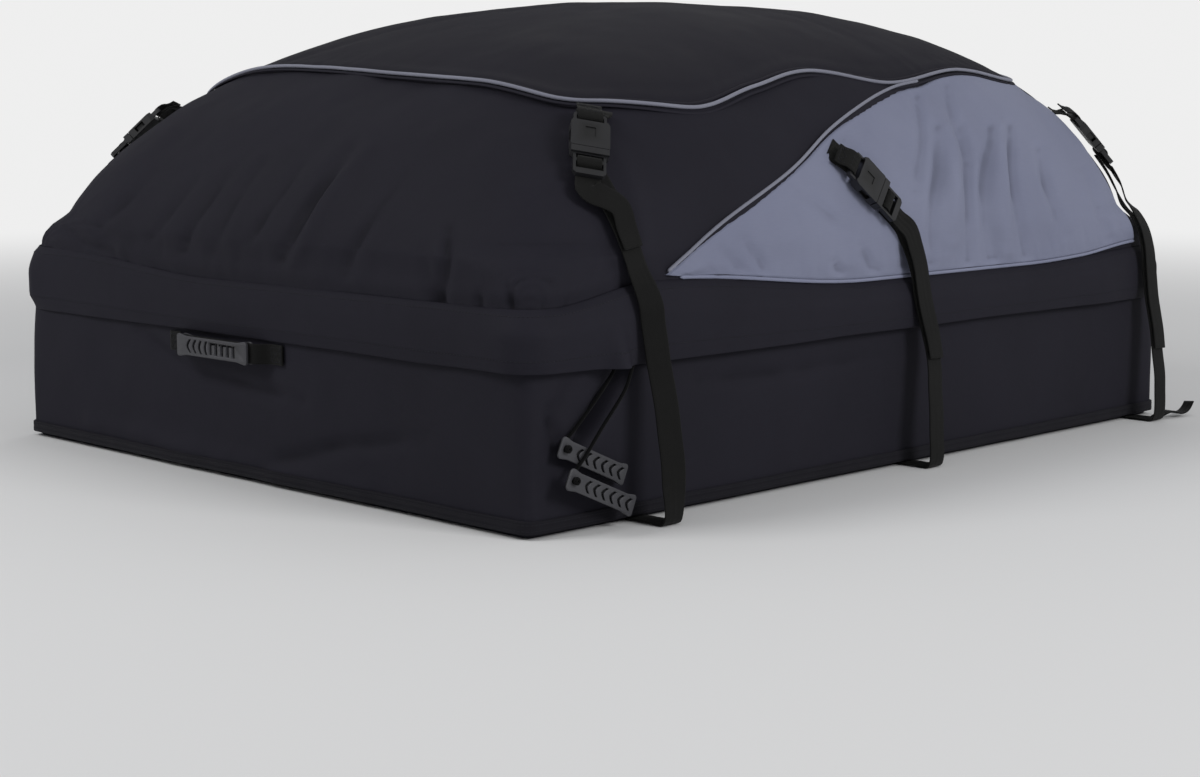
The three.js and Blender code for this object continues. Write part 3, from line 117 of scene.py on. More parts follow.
def field(p):
    """1 on the bag's surface, less inside it."""
    half_length, half_width, power, shift = plan_at(p[..., 2])
    along = np.abs((p[..., 0] - shift) / half_length)
    across = np.abs(p[..., 1] / half_width)
    return np.minimum(along, 50) ** power + np.minimum(across, 50) ** power


def unit(v):
    return v / np.maximum(1e-12, np.linalg.norm(v, axis=-1, keepdims=True))


def normals(p):
    steps = np.eye(3) / 2
    slope = np.stack([field(p + s) - field(p - s) for s in steps], axis=-1)
    near_top = smooth(p[..., 2], CROWN_HEIGHT - 2.5, CROWN_HEIGHT - 0.6)[..., None]
    return unit(unit(slope) * (1 - near_top) + np.array([0, 0, 1.0]) * near_top)


def on_side(x, z):
    """The point of the left side at x and height z."""
    half_length, half_width, power, shift = plan_at(z)
    along = np.minimum(1, np.abs((x - shift) / half_length))
    across = (1 - along ** power) ** (1 / power)
    return stacked(x, half_width * across, z)


def on_top(x, y):
    """The point of the dome above x and y, found by halving."""
    x, y = np.broadcast_arrays(np.asarray(x, float), np.asarray(y, float))
    low, high = np.full(x.shape, WALL_HEIGHT), np.full(x.shape, CROWN_HEIGHT)
    for _ in range(34):
        middle = (low + high) / 2
        inside = field(stacked(x, y, middle)) < 1
        low, high = np.where(inside, middle, low), np.where(inside, high, middle)
    return stacked(x, y, low)


def height_at(level):
    """Height of a level: 0 at the foot, 1 at the top of the wall, 2 at the crown."""
    level = np.asarray(level, float)
    return np.where(level <= 1, level * WALL_HEIGHT, WALL_HEIGHT + (level - 1) * DOME_HEIGHT)


# Smooth random slack, always the same

LATTICE = np.random.default_rng(20).uniform(-1, 1, (32, 32, 32))


def slack(p, size):
    """Soft noise from -1 to 1 with features of that size in millimetres."""
    q = p / size + 7.3
    base = np.floor(q).astype(int)
    f = q - base
    f = f * f * (3 - 2 * f)
    total = 0
    for corner in range(8):
        step = np.array([corner & 1, corner >> 1 & 1, corner >> 2 & 1])
        i = (base + step) % 32
        weight = np.prod(np.where(step, f, 1 - f), axis=-1)
        total = total + weight * LATTICE[i[..., 0], i[..., 1], i[..., 2]]
    return total


def layered(p, layers):
    """Slack of several sizes together. Each layer is its height and its size."""
    return sum(height * slack(p, size) for height, size in layers)


SHELL_SLACK = ((3.2, 150), (2.0, 62), (0.7, 27))
CROWN_SLACK = ((2.4, 170), (1.3, 66), (0.5, 25))
PANEL_SLACK = ((2.6, 120), (1.6, 48), (0.6, 22))
FLAP_SLACK = ((1.7, 95), (1.0, 41), (0.3, 18))


# Curves

def hermite(a, b, leave, arrive, w):
    """Between a and b at shares w, with the slopes leave and arrive."""
    bend = (2 * a - 2 * b + leave + arrive) * w ** 3
    return bend + (-3 * a + 3 * b - 2 * leave - arrive) * w ** 2 + leave * w + a


def catmull(points, t):
    """A uniform spline through 2-D points, at t from 0 to 1."""
    points = np.asarray(points, float)
    at = np.clip(np.asarray(t, float), 0, 1) * (len(points) - 1)
    i = np.minimum(np.floor(at).astype(int), len(points) - 2)
    w = (at - i)[..., None]
    p0, p1 = points[np.maximum(i - 1, 0)], points[i]
    p2, p3 = points[i + 1], points[np.minimum(i + 2, len(points) - 1)]
    return hermite(p1, p2, (p2 - p0) / 2, (p3 - p1) / 2, w)


def centripetal(points, closed, per_span, axes=None):
    """The centripetal spline through points, finely sampled. Only the first axes count as distance."""
    points = np.asarray(points, float)
    count = len(points)
    out = []
    for i in range(count if closed else count - 1):
        if closed:
            p0, p1, p2, p3 = (points[(i + k) % count] for k in (-1, 0, 1, 2))
        else:
            p1, p2 = points[i], points[i + 1]
            p0 = points[i - 1] if i else 2 * p1 - p2
            p3 = points[i + 2] if i + 2 < count else 2 * p2 - p1
        pairs = ((p0, p1), (p1, p2), (p2, p3))
        d = [max(1e-4, float(np.linalg.norm((b - a)[:axes])) ** 0.5) for a, b in pairs]
        leave = ((p1 - p0) / d[0] - (p2 - p0) / (d[0] + d[1]) + (p2 - p1) / d[1]) * d[1]
        arrive = ((p2 - p1) / d[1] - (p3 - p1) / (d[1] + d[2]) + (p3 - p2) / d[2]) * d[1]
        out.append(hermite(p1, p2, leave, arrive, (np.arange(per_span) / per_span)[:, None]))
    if not closed:
        out.append(points[-1:])
    return np.concatenate(out)


def walked(line):
    """Distance walked along a line to each of its points."""
    return np.concatenate([[0], np.cumsum(np.linalg.norm(np.diff(line, axis=0), axis=1))])


def resampled(line, lengths, goals):
    return np.stack([np.interp(goals, lengths, line[:, k]) for k in range(line.shape[1])], axis=-1)


def spaced(line, count, closed=False):
    """count points evenly along a finely sampled line."""
    run = np.vstack([line, line[:1]]) if closed else line
    lengths = walked(run)
    goals = np.linspace(0, lengths[-1], count + 1)[:-1] if closed else np.linspace(0, lengths[-1], count)
    return resampled(run, lengths, goals)


# Meshes

def add_object(name, data):
    obj = bpy.data.objects.new(name, data)
    bpy.context.scene.collection.objects.link(obj)
    return obj


def shade(mesh, smoothly=True):
    mesh.polygons.foreach_set("use_smooth", [smoothly] * len(mesh.polygons))
    mesh.update()


def unwrapped(mesh, uv, around):
    """The UV of every face corner, with the faces that close a ring carried on past its length."""
    vertex = np.zeros(len(mesh.loops), dtype=np.int32)
    mesh.loops.foreach_get("vertex_index", vertex)
    uv = np.reshape(uv, (-1, 2))[vertex]
    starts = np.zeros(len(mesh.polygons), dtype=np.int32)
    mesh.polygons.foreach_get("loop_start", starts)
    totals = np.diff(np.append(starts, len(vertex)))
    for axis, length in enumerate(around):
        if length:
            far = np.repeat(np.maximum.reduceat(uv[:, axis], starts), totals)
            uv[:, axis] += np.where(far - uv[:, axis] > length / 2, length, 0)
    return uv


def make_mesh(name, points, faces, uv=None, smoothly=True, around=(0, 0)):
    """A mesh object from points, or a grid of them, in millimetres."""
    mesh = bpy.data.meshes.new(name)
    mesh.from_pydata((np.reshape(points, (-1, 3)) * MM).tolist(), [], faces)
    if uv is not None:
        layer = mesh.uv_layers.new(name="cloth")
        layer.data.foreach_set("uv", (unwrapped(mesh, uv, around) * MM).ravel())
    shade(mesh, smoothly)
    return add_object(name, mesh)


def grid_faces(rows, cols, wrap=False, flip=False):
    faces = []
    for r in range(rows - 1):
        for col in range(cols if wrap else cols - 1):
            a, b = r * cols + col, r * cols + (col + 1) % cols
            quad = (a, b, b + cols, a + cols)
            faces.append(quad[::-1] if flip else quad)
    return faces


def run_lengths(points, axis):
    """Distance walked along an axis of a grid of points."""
    steps = np.linalg.norm(np.diff(points, axis=axis), axis=-1)
    first = np.zeros_like(np.take(steps, [0], axis=axis))
    return np.concatenate([first, np.cumsum(steps, axis=axis)], axis=axis)


def finish_piece(obj, body, look, *nodes, slot=None):
    """Gives a piece its look, the CAD nodes that it stands for and the body that it rides. slot is not used.
    """
    obj.data.materials.append(looks[look])
    if nodes:
        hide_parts(*nodes)
    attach(obj, body)
    return obj


def end_faces(sides, last):
    """The two end faces of an open tube, whose last ring starts at point last."""
    return [tuple(range(sides)), tuple(reversed(range(last, last + sides)))]


def mirrored(obj, name):
    copy = obj.copy()
    copy.data = obj.data.copy()
    copy.name = copy.data.name = name
    copy.data.transform(Matrix.Diagonal((1, -1, 1, 1)))
    copy.data.flip_normals()
    bpy.context.scene.collection.objects.link(copy)
    return copy


def finish_both(left, look, *nodes):
    """Finishes a left piece and its mirror image. Names and nodes end in left and in right."""
    right = mirrored(left, left.name.replace("_left", "_right"))
    for obj, side in ((left, "left"), (right, "right")):
        finish_piece(obj, "bag", look, *(node + side for node in nodes))


# The camera, where the photograph was taken from

CAMERA = np.array([1817.0, 1786.0, 401.0])
YAW, PITCH = math.radians(224.8), math.radians(-8.0)
# The focal length and the frame, in the photograph's pixels
FOCAL, FRAME_WIDTH, FRAME_HEIGHT = 2095.0, 1200, 777
AHEAD = np.array([math.cos(YAW) * math.cos(PITCH), math.sin(YAW) * math.cos(PITCH), math.sin(PITCH)])
RIGHT = np.array([math.sin(YAW), -math.cos(YAW), 0.0])
UPWARD = np.cross(RIGHT, AHEAD)


def pixels(p):
    """Where points fall in the photograph's frame."""
    v = p - CAMERA
    scale = FOCAL / (v @ AHEAD)
    return np.stack([FRAME_WIDTH / 2 + scale * (v @ RIGHT), FRAME_HEIGHT / 2 - scale * (v @ UPWARD)], axis=-1)


camera_data = bpy.data.cameras.new("camera")
camera_data.lens = FOCAL / FRAME_WIDTH * camera_data.sensor_width
camera_data.clip_end = 60
camera = add_object("camera", camera_data)
camera.matrix_world = Matrix.Translation(Vector(CAMERA * MM)) @ Matrix(
    [[RIGHT[k], UPWARD[k], -AHEAD[k]] for k in range(3)]
).to_4x4()
bpy.context.scene.camera = camera

# Materials


def srgb(*rgb):
    return tuple((c / 255 / 12.92 if c <= 10 else ((c / 255 + 0.055) / 1.055) ** 2.4) for c in rgb) + (1.0,)


class Nodes:
    """A node tree, with short ways to fill it."""

    def __init__(self, owner, cleared=False):
        owner.use_nodes = True
        self.tree = owner.node_tree
        if cleared:
            self.tree.nodes.clear()

    def set(self, node, socket, value):
        if hasattr(value, "is_output"):
            self.tree.links.new(value, node.inputs[socket])
        else:
            node.inputs[socket].default_value = value

    def node(self, kind, inputs=(), **settings):
        made = self.tree.nodes.new(kind)
        for key, value in settings.items():
            setattr(made, key, value)
        for socket, value in dict(inputs).items():
            self.set(made, socket, value)
        return made.outputs

    def math(self, operation, *values):
        return self.node("ShaderNodeMath", dict(enumerate(values)), operation=operation)[0]

    def wave(self, value, pitch):
        """A sine with that pitch, from -1 to 1."""
        return self.math("SINE", self.math("MULTIPLY", value, 2 * math.pi / pitch))

    def ribs(self, value):
        """A wave from -1 to 1, brought to 0 to 1."""
        return self.math("MULTIPLY_ADD", value, 0.5, 0.5)

    def weighted(self, *parts):
        """The sum of values times their weights."""
        total = 0.0
        for value, weight in parts:
            total = self.math("MULTIPLY_ADD", value, weight, total)
        return total

    def ramp(self, value, *stops):
        made = self.tree.nodes.new("ShaderNodeValToRGB")
        elements = made.color_ramp.elements
        while len(elements) < len(stops):
            elements.new(0.5)
        for element, (position, color) in zip(elements, stops):
            element.position = position
            element.color = color if isinstance(color, tuple) else (color, color, color, 1)
        self.set(made, 0, value)
        return made.outputs[0]

    def spread(self, *values):
        """A value's range from low to high, brought to another low and high."""
        return self.node("ShaderNodeMapRange", dict(enumerate(values)))[0]

    def noise(self, place, scale, detail):
        inputs = {"Vector": place, "Scale": scale, "Detail": detail, "Roughness": 0.55}
        return self.node("ShaderNodeTexNoise", inputs)["Fac"]

    def mixed(self, share, a, b):
        return self.node("ShaderNodeMix", {0: share, 6: a, 7: b}, data_type="RGBA")[2]

    def bump(self, height, distance, strength, below=None):
        inputs = {"Height": height, "Distance": distance, "Strength": strength}
        if below is not None:
            inputs["Normal"] = below
        return self.node("ShaderNodeBump", inputs)[0]

    def close(self, kind, share, a, b):
        """Mixes two shaders and hands them to the tree's output."""
        self.node(kind, {0: self.node("ShaderNodeMixShader", {0: share, 1: a[0], 2: b[0]})[0]})


class Look(Nodes):
    """A procedural material, kept in looks under its name."""

    def __init__(self, name, roughness, specular=0.5, sheen=0.0):
        looks[name] = bpy.data.materials.new(name)
        super().__init__(looks[name])
        self.shader = self.tree.nodes["Principled BSDF"]
        self.finish("Roughness", roughness)
        self.finish("Specular IOR Level", specular)
        self.finish("Sheen Weight", sheen)
        self.finish("Sheen Roughness", 0.4)

    def finish(self, socket, value):
        self.set(self.shader, socket, value)

    def edge_wear_and_crease_shade(self, *stops):
        """Darker in hollows and lighter on edges, by the shape of the mesh: painted shade in the cloth's
        hollows and creases, and rubbed wear on the plastic's edges.
        """
        return self.ramp(self.node("ShaderNodeNewGeometry")["Pointiness"], *stops)


looks = {}


CLOTH_GRAIN = 0.00012
# The near-black colour of the painted shade in the cloth's hollows and creases
PAINTED_CREASE_SHADE = (0.002, 0.002, 0.003, 1)


def cloth_look(name, color, faded, thread, roughness, sheen):
    """Plain woven, coated polyester, with painted shade in its hollows and creases. thread is the pitch of
    the weave in metres.
    """
    look = Look(name, roughness, specular=0.06, sheen=sheen)
    where = look.node("ShaderNodeTexCoord")
    place, cloth = where["Object"], where["UV"]
    parts = look.node("ShaderNodeSeparateXYZ", {0: cloth})
    weave = look.ribs(look.math("MULTIPLY", look.wave(parts[0], thread), look.wave(parts[1], thread)))
    patches = look.noise(place, 5.0, 4.0)
    slub = look.noise(look.node("ShaderNodeMapping", {0: cloth, 3: (60, 1400, 1)})[0], 1.0, 2.0)
    tone = look.weighted((patches, 0.75), (slub, 0.25), (weave, 0.16))
    # Painted shade: where the mesh's pointiness is low, in hollows and creases, the base colour is mixed
    # towards a near-black shade colour
    clear_of_painted_shade = look.edge_wear_and_crease_shade((0.42, 0.1), (0.492, 0.86), (0.57, 1.0))
    look.finish("Base Color", look.mixed(clear_of_painted_shade, PAINTED_CREASE_SHADE, look.ramp(tone, (0.28, color), (0.85, faded))))
    look.finish("Roughness", look.spread(patches, 0.3, 0.75, roughness - 0.06, roughness + 0.08))
    soft = look.bump(look.noise(place, 38.0, 3.0), 0.0012, 0.35)
    threads = look.bump(weave, CLOTH_GRAIN, 0.6, below=soft)
    look.finish("Normal", look.bump(look.noise(place, 260.0, 2.0), CLOTH_GRAIN * 0.6, 0.5, below=threads))


CHEVRON_WIDTH, RIB_PITCH, CORD_PITCH = 0.0031, 0.0021, 0.0016


def webbing_look(name, color, worn, roughness):
    """Ribbed webbing: chevron ribs along it, crossed by fine cords."""
    look = Look(name, roughness, specular=0.12, sheen=0.04)
    where = look.node("ShaderNodeTexCoord")
    parts = look.node("ShaderNodeSeparateXYZ", {0: where["UV"]})
    across = look.math("ABSOLUTE", parts[0])
    slanted = look.math("MULTIPLY_ADD", look.math("PINGPONG", across, CHEVRON_WIDTH), 1.6, parts[1])
    rib = look.ribs(look.wave(slanted, RIB_PITCH))
    cord = look.ribs(look.wave(across, CORD_PITCH))
    wear = look.noise(where["Object"], 14.0, 4.0)
    tone = look.weighted((wear, 0.7), (cord, 0.15), (rib, 0.35))
    look.finish("Base Color", look.ramp(tone, (0.25, color), (0.95, worn)))
    cords = look.bump(cord, 0.00012, 0.5, below=look.bump(rib, 0.0003, 0.8))
    look.finish("Normal", look.bump(look.noise(where["Object"], 420.0, 2.0), 0.00012, 0.5, below=cords))


def plastic_look(name, color, worn, roughness, grain):
    """Moulded plastic or rubber with a fine spark grain and lighter rubbed edges."""
    look = Look(name, roughness)
    place = look.node("ShaderNodeTexCoord")["Object"]
    cloudy = look.noise(place, 40.0, 3.0)
    rubbed = look.edge_wear_and_crease_shade((0.5, 0.0), (0.56, 1.0))
    base = look.ramp(cloudy, (0.3, color), (0.8, tuple(c * 1.25 for c in color[:3]) + (1,)))
    look.finish("Base Color", look.mixed(look.math("MULTIPLY", rubbed, 0.5), base, worn))
    look.finish("Roughness", look.spread(cloudy, 0.3, 0.7, roughness - 0.05, roughness + 0.1))
    look.finish("Normal", look.bump(look.noise(place, 900.0, 2.0), grain, 0.35))


cloth_look("black_fabric", srgb(33, 32, 39), srgb(42, 41, 49), 0.0013, 0.66, 0.0)
cloth_look("crown_fabric", srgb(33, 32, 38), srgb(42, 41, 48), 0.0013, 0.66, 0.0)
cloth_look("grey_fabric", srgb(119, 123, 145), srgb(136, 140, 161), 0.0013, 0.62, 0.05)
cloth_look("piping", srgb(116, 117, 130), srgb(140, 142, 155), 0.0009, 0.5, 0.05)
webbing_look("webbing", srgb(14, 14, 14), srgb(25, 25, 24), 0.72)
webbing_look("binding_black", srgb(20, 19, 25), srgb(30, 29, 35), 0.75)
webbing_look("cord_black", srgb(3, 3, 4), srgb(9, 9, 10), 0.85)
cloth_look("thread", srgb(32, 32, 37), srgb(46, 46, 51), 0.0006, 0.6, 0.05)
plastic_look("black_plastic", srgb(10, 10, 11), srgb(34, 34, 37), 0.36, 0.00004)
plastic_look("grip_rubber", srgb(48, 48, 52), srgb(72, 72, 77), 0.55, 0.00006)
plastic_look("zip_coil", srgb(18, 18, 19), srgb(40, 40, 42), 0.45, 0.00003)

# Seams and creases

# The crown's loop: its left part by places from the front and in from the left, then its rear and front parts
LOOP_LEFT = [(160, 122), (194, 90), (284, 62), (396, 78), (506, 96), (631, 82), (780, 102), (918, 114)]
LOOP_REAR = [(128, 200), (121, 0), (128, -200)]
LOOP_FRONT = [(195, -236), (184, -80), (169, 60), (159, 190)]
RIGHT_FRONT_BACK = 34
LEFT_PART = [[HALF_LENGTH - f, HALF_WIDTH - s] for f, s in LOOP_LEFT]
RIGHT_PART = [[x, -y] for x, y in reversed(LEFT_PART)]
RIGHT_PART[-1][0] -= RIGHT_FRONT_BACK
RIGHT_PART[-2][0] -= RIGHT_FRONT_BACK / 3
LOOP_POINTS = LEFT_PART + [[-HALF_LENGTH + r, y] for r, y in LOOP_REAR] + RIGHT_PART
LOOP_POINTS += [[HALF_LENGTH - f, y] for f, y in LOOP_FRONT]
CROWN_LOOP = centripetal(LOOP_POINTS, True, 40)
LOOP_CENTRE = np.array([-CROWN_SETBACK, 0])

# The side panel's front edge: places from the front, with levels
DIAGONAL = [(179, 0.925), (262, 1.095), (385, 1.28), (472, 1.43), (560, 1.54), (632, 1.606), (690, 1.634)]
DIAGONAL = [(HALF_LENGTH - f, float(height_at(level))) for f, level in DIAGONAL]


def loop_inward(line):
    """The way in from each point of a loop round the crown, square to the loop."""
    run = unit(np.roll(line, -1, axis=0) - np.roll(line, 1, axis=0))
    inward = np.stack([-run[:, 1], run[:, 0]], axis=-1)
    return inward * np.sign(np.sum(inward * (LOOP_CENTRE - line), axis=-1))[:, None]


def side_seam(x):
    front = smooth(x, HALF_LENGTH * 0.1, HALF_LENGTH * 0.68)
    rear = smooth(-x, HALF_LENGTH * 0.45, HALF_LENGTH * 0.92)
    return SEAM_LOW + SEAM_FRONT_RISE * front + SEAM_REAR_RISE * rear


def front_seam(y):
    return SEAM_LOW + 4 + (SEAM_FRONT_RISE - 5) * smooth(-y, HALF_WIDTH * 0.14, HALF_WIDTH * 0.8)


def eased_side_seam(p):
    """The flap's seam on a side wall. On the left it comes down to the front wall's seam at the corner."""
    return side_seam(p[..., 0]) - 17 * smooth(p[..., 0], 385, 520) * (p[..., 1] > 0)


def seam_height(p, n):
    """Height of the seam over the flap, seen from points p with normals n."""
    side = eased_side_seam(p)
    end = np.where(n[..., 0] > 0, front_seam(p[..., 1]), SEAM_LOW + SEAM_REAR_RISE)
    flat = n[..., 0] ** 2 + n[..., 1] ** 2 + 1e-9
    return (side * n[..., 1] ** 2 + end * n[..., 0] ** 2) / flat


# Creases that the photograph shows: depth and half width in millimetres, then the line's points in the
# photograph's pixels. A negative depth is a ridge.
FRONT_CREASES = [
    (3.2, 7, [(352, 148), (318, 190), (297, 222), (280, 258)]),
    (-2.2, 8, [(366, 150), (334, 192), (312, 226), (294, 262)]),
    (2.2, 6, [(228, 172), (206, 200), (188, 228), (182, 250)]),
    (1.8, 6, [(262, 162), (240, 190), (222, 222), (214, 250)]),
    (1.6, 5, [(300, 165), (270, 205), (248, 240)]),
    (1.8, 6, [(150, 170), (122, 200), (98, 226)]),
    (1.4, 6, [(196, 176), (170, 208), (150, 236)]),
    (1.6, 6, [(404, 170), (372, 210), (350, 250), (344, 275)]),
    (2.6, 6, [(447, 228), (443, 262), (438, 300), (436, 312)]),
    (1.4, 7, [(420, 250), (430, 285), (438, 308)]),
    (1.6, 4, [(480, 292), (478, 312)]),
    (1.8, 4, [(508, 288), (512, 313)]),
    (1.6, 4, [(540, 292), (543, 313)]),
    (1.2, 4, [(568, 294), (566, 312)]),
    (1.2, 6, [(60, 220), (80, 240), (110, 250)]),
    (1.6, 9, [(388, 330), (420, 338), (450, 352)]),
    (2.0, 9, [(60, 286), (110, 282), (170, 296)]),
    (1.6, 8, [(140, 330), (200, 372), (300, 400)]),
    (-2.0, 12, [(90, 420), (220, 456), (360, 488)]),
    (1.5, 9, [(250, 470), (330, 448), (420, 440)]),
]
SIDE_CREASES = [
    (3.4, 6, [(688, 343), (712, 340), (738, 343)]),
    (1.8, 7, [(680, 300), (702, 314), (722, 330)]),
    (1.4, 8, [(740, 300), (800, 318), (870, 322)]),
    (1.5, 9, [(960, 300), (1020, 296), (1090, 300)]),
    (1.5, 8, [(700, 380), (780, 372), (880, 356)]),
    (-1.6, 10, [(620, 150), (640, 210), (652, 268)]),
    (1.8, 8, [(600, 200), (618, 260), (632, 330)]),
    (9.5, 6.5, [(634, 356), (612, 392), (597, 418), (583, 442)]),
    (2.6, 7, [(552, 410), (556, 436), (562, 458)]),
    (1.8, 8, [(575, 370), (566, 400), (560, 424)]),
]
PANEL_CREASES = [
    (3.4, 5.5, [(990, 130), (985, 170), (986, 210), (992, 258)]),
    (3.0, 5.0, [(1010, 128), (1012, 170), (1018, 215), (1026, 262)]),
    (2.6, 5.0, [(1040, 150), (1050, 190), (1062, 232)]),
    (3.2, 5.0, [(962, 128), (968, 168), (970, 210), (968, 268)]),
    (3.0, 5.0, [(935, 130), (938, 170), (932, 212), (930, 262)]),
    (2.4, 5.0, [(916, 96), (922, 140), (916, 190)]),
    (2.0, 5.0, [(946, 86), (956, 130), (972, 160)]),
    (-2.4, 6.5, [(950, 130), (952, 175), (950, 240)]),
    (-2.2, 6.5, [(1000, 130), (999, 175), (1006, 250)]),
    (1.8, 5.0, [(1082, 170), (1096, 206), (1108, 236)]),
    (1.6, 4.5, [(720, 250), (736, 266), (750, 277)]),
    (1.5, 4.5, [(744, 240), (756, 258), (768, 276)]),
    (1.6, 4.5, [(832, 262), (838, 270), (842, 277)]),
    (1.4, 5.0, [(860, 246), (868, 262), (880, 276)]),
    (1.3, 6.0, [(800, 190), (830, 214), (862, 232)]),
    (1.4, 5.0, [(846, 140), (868, 160), (880, 180)]),
    (2.0, 5.0, [(902, 240), (906, 256), (904, 272)]),
]


def crease_depth(p, n, creases, wider=1.0):
    """How far the creases press points p inward. Only points that face the camera are reached."""
    where = pixels(p)
    facing = smooth(np.sum(unit(CAMERA - p) * n, axis=-1), 0.02, 0.2)
    scale = np.linalg.norm(p - CAMERA, axis=-1) / FOCAL
    total = np.zeros(p.shape[:-1])
    for depth, half, line in creases:
        line = centripetal(line, False, 8)
        far = np.full(p.shape[:-1], 1e9)
        share = np.zeros(p.shape[:-1])
        for i in range(len(line) - 1):
            a, d = line[i], line[i + 1] - line[i]
            t = np.clip(((where - a) @ d) / (d @ d), 0, 1)
            away = np.linalg.norm(where - a - t[..., None] * d, axis=-1)
            nearer = away < far
            far = np.where(nearer, away, far)
            share = np.where(nearer, (i + t) / (len(line) - 1), share)
        ends = np.sin(np.pi * np.clip(share, 0.06, 0.94)) ** 0.5
        wander = 1 + 0.45 * slack(p, 31)
        total = total + depth * wander * ends * bell(far * scale / wider, half)
    return total * facing


def mirrored_sum(p, n, creases, axis):
    """The creases as seen, and a little softer on the side that the photograph doesn't show."""
    flip = np.ones(3)
    flip[axis] = -1
    here = (n[..., axis] > 0.0) | (np.abs(p[..., axis]) < 1)
    near = crease_depth(p, n, creases)
    far = crease_depth(p * flip, n * flip, creases)
    return np.where(here, near, 0.8 * far)


def puckers(distance_to_seam, run, pitch, reach, seed):
    """Small gathers square to a seam, uneven along it and dying out away from it."""
    strength = 0.5 + 0.5 * slack(stacked(run, 0, seed * 37), 120)
    wave = 1.7 * slack(stacked(run, 0.3 * distance_to_seam, seed * 51), pitch * 0.62)
    return wave * strength * np.exp(-np.abs(distance_to_seam) / reach)


def shell_relief(p, n):
    """How far the fabric shell lies off its even shape, in millimetres: below 0 is inward."""
    x, y, z = (p[..., k] for k in range(3))
    ahead, aside = np.abs(n[..., 0]), np.abs(n[..., 1])
    above = smooth(z, 196, 240)
    relief = layered(p, SHELL_SLACK) * smooth(z, 0, 50) * (0.55 + 0.45 * above) - 1.2
    over_seam = z - seam_height(p, n)
    run = y * ahead + x * aside
    relief = relief + above * 2.6 * puckers(over_seam, run, 21, 30, 1)
    # A roll of cloth over the flap's seam, where no side panel covers it
    bare = 1 - smooth(aside, 0.3, 0.7) * (1 - smooth(x, 380, 440))
    relief = relief + 1.8 * bare * bell(over_seam - 13, 9)
    relief = relief + 0.6 * puckers(z - 14, run, 30, 24, 2) * smooth(z, 6, 22)
    front = smooth(n[..., 0], 0.35, 0.75) * smooth(ahead, 0.2, 0.6)
    side = smooth(aside, 0.35, 0.75)
    relief = relief - 2.5 * mirrored_sum(p, n, FRONT_CREASES, 0) * np.clip(front * 1.6 + 0.25, 0, 1)
    return relief - 2.2 * mirrored_sum(p, n, SIDE_CREASES, 1) * np.clip(side * 1.6 + 0.25, 0, 1)


# Fabric shell: tub and lid

def rings(z, angles, inset=None):
    """Points round the bag at heights z, as rows of one grid."""
    z = np.asarray(z, float)[:, None]
    half_length, half_width, power, shift = plan_at(z)
    c, s = np.cos(angles), np.sin(angles)
    k = (np.abs(c) ** power + np.abs(s) ** power) ** (-1 / power)
    p = stacked(half_length * c * k + shift, half_width * s * k, z)
    if inset is not None:
        p = p - unit(normals(p) * [1, 1, 0]) * np.asarray(inset, float)[:, None, None]
    return p


CORNER_SHARE = 160


def ring_angles(count):
    """Angles evenly along the wall's plan, closer together where it turns."""
    t = np.linspace(0, 2 * np.pi, 2881)
    step = np.diff(rings([WALL_HEIGHT], t)[0, :, :2], axis=0)
    heading = np.unwrap(np.arctan2(step[:, 1], step[:, 0]))
    turn = np.abs(np.diff(heading, prepend=heading[0]))
    weight = np.linalg.norm(step, axis=1) + turn / (np.pi / 2) * CORNER_SHARE
    total = np.concatenate([[0], np.cumsum(weight)])
    return np.interp(np.linspace(0, total[-1], count + 1)[:-1], total, t)


LID_ANGLES, TUB_ANGLES = ring_angles(800), ring_angles(1100)


def ring_length(ring):
    """The way round a closed row of points."""
    return walked(np.vstack([ring, ring[:1]]))[-1]


def shell(name, grid, cap_low, cap_high):
    """Cloth from closed rows of points, its ends drawn to a point where a cap is given."""
    rows, cols, _ = grid.shape
    points = grid.reshape(-1, 3)
    uv = stacked(run_lengths(grid, 1)[0][None], run_lengths(grid, 0)).reshape(-1, 2)
    faces = grid_faces(rows, cols, wrap=True)
    for cap, row, turned in ((cap_low, 0, True), (cap_high, rows - 1, False)):
        if cap is None:
            continue
        middle = len(points)
        points, uv = np.vstack([points, cap]), np.vstack([uv, (0, 0)])
        for col in range(cols):
            a, b = row * cols + col, row * cols + (col + 1) % cols
            faces.append((b, a, middle) if turned else (a, b, middle))
    return make_mesh(name, points, faces, uv, around=(ring_length(grid[0]), 0))


def panel_foot(x):
    """Height of the side panels' lower edge."""
    share = np.clip((PANEL_FRONT - x) / (PANEL_FRONT - PANEL_REAR), 0, 1)
    return side_seam(x) + 3 + 6 * smooth(share, 0.85, 1)


def panel_mask(p, n):
    """1 where the shell runs under a side panel or the crown panel, fading out over their seams."""
    x, z = p[..., 0], p[..., 2]
    foot, top = panel_foot(x), panel_top_at(x)
    over = smooth(z, foot + 1, foot + 9) * (1 - smooth(z, top - 9, top - 1))
    end_x, end_z = PANEL_TOP[-1]
    risen = np.clip((z - PANEL_REAR_FOOT) / (end_z - PANEL_REAR_FOOT), 0, 1)
    rear = PANEL_REAR + (end_x - PANEL_REAR) * risen
    ends = smooth(x, rear + 2, rear + 10) * (1 - smooth(x, PANEL_FRONT - 16, PANEL_FRONT - 1))
    side = over * ends * smooth(np.abs(n[..., 1]), 0.05, 0.2)
    angle, reach = polar(p)
    rim = np.interp(angle, *RIM, period=2 * np.pi)
    crown = (1 - smooth(reach, rim - 16, rim - 6)) * smooth(z, 330, 350)
    return np.maximum(side, crown)


def polar(p):
    """Angle and reach of points about the crown's centre."""
    x, y = p[..., 0] - LOOP_CENTRE[0], p[..., 1]
    return np.arctan2(y, x), np.hypot(y, x)


RIM = np.stack(polar(CROWN_LOOP))
RIM = RIM[:, np.argsort(RIM[0])]

# The side panels' upper edge, up the diagonal and back along the crown piping

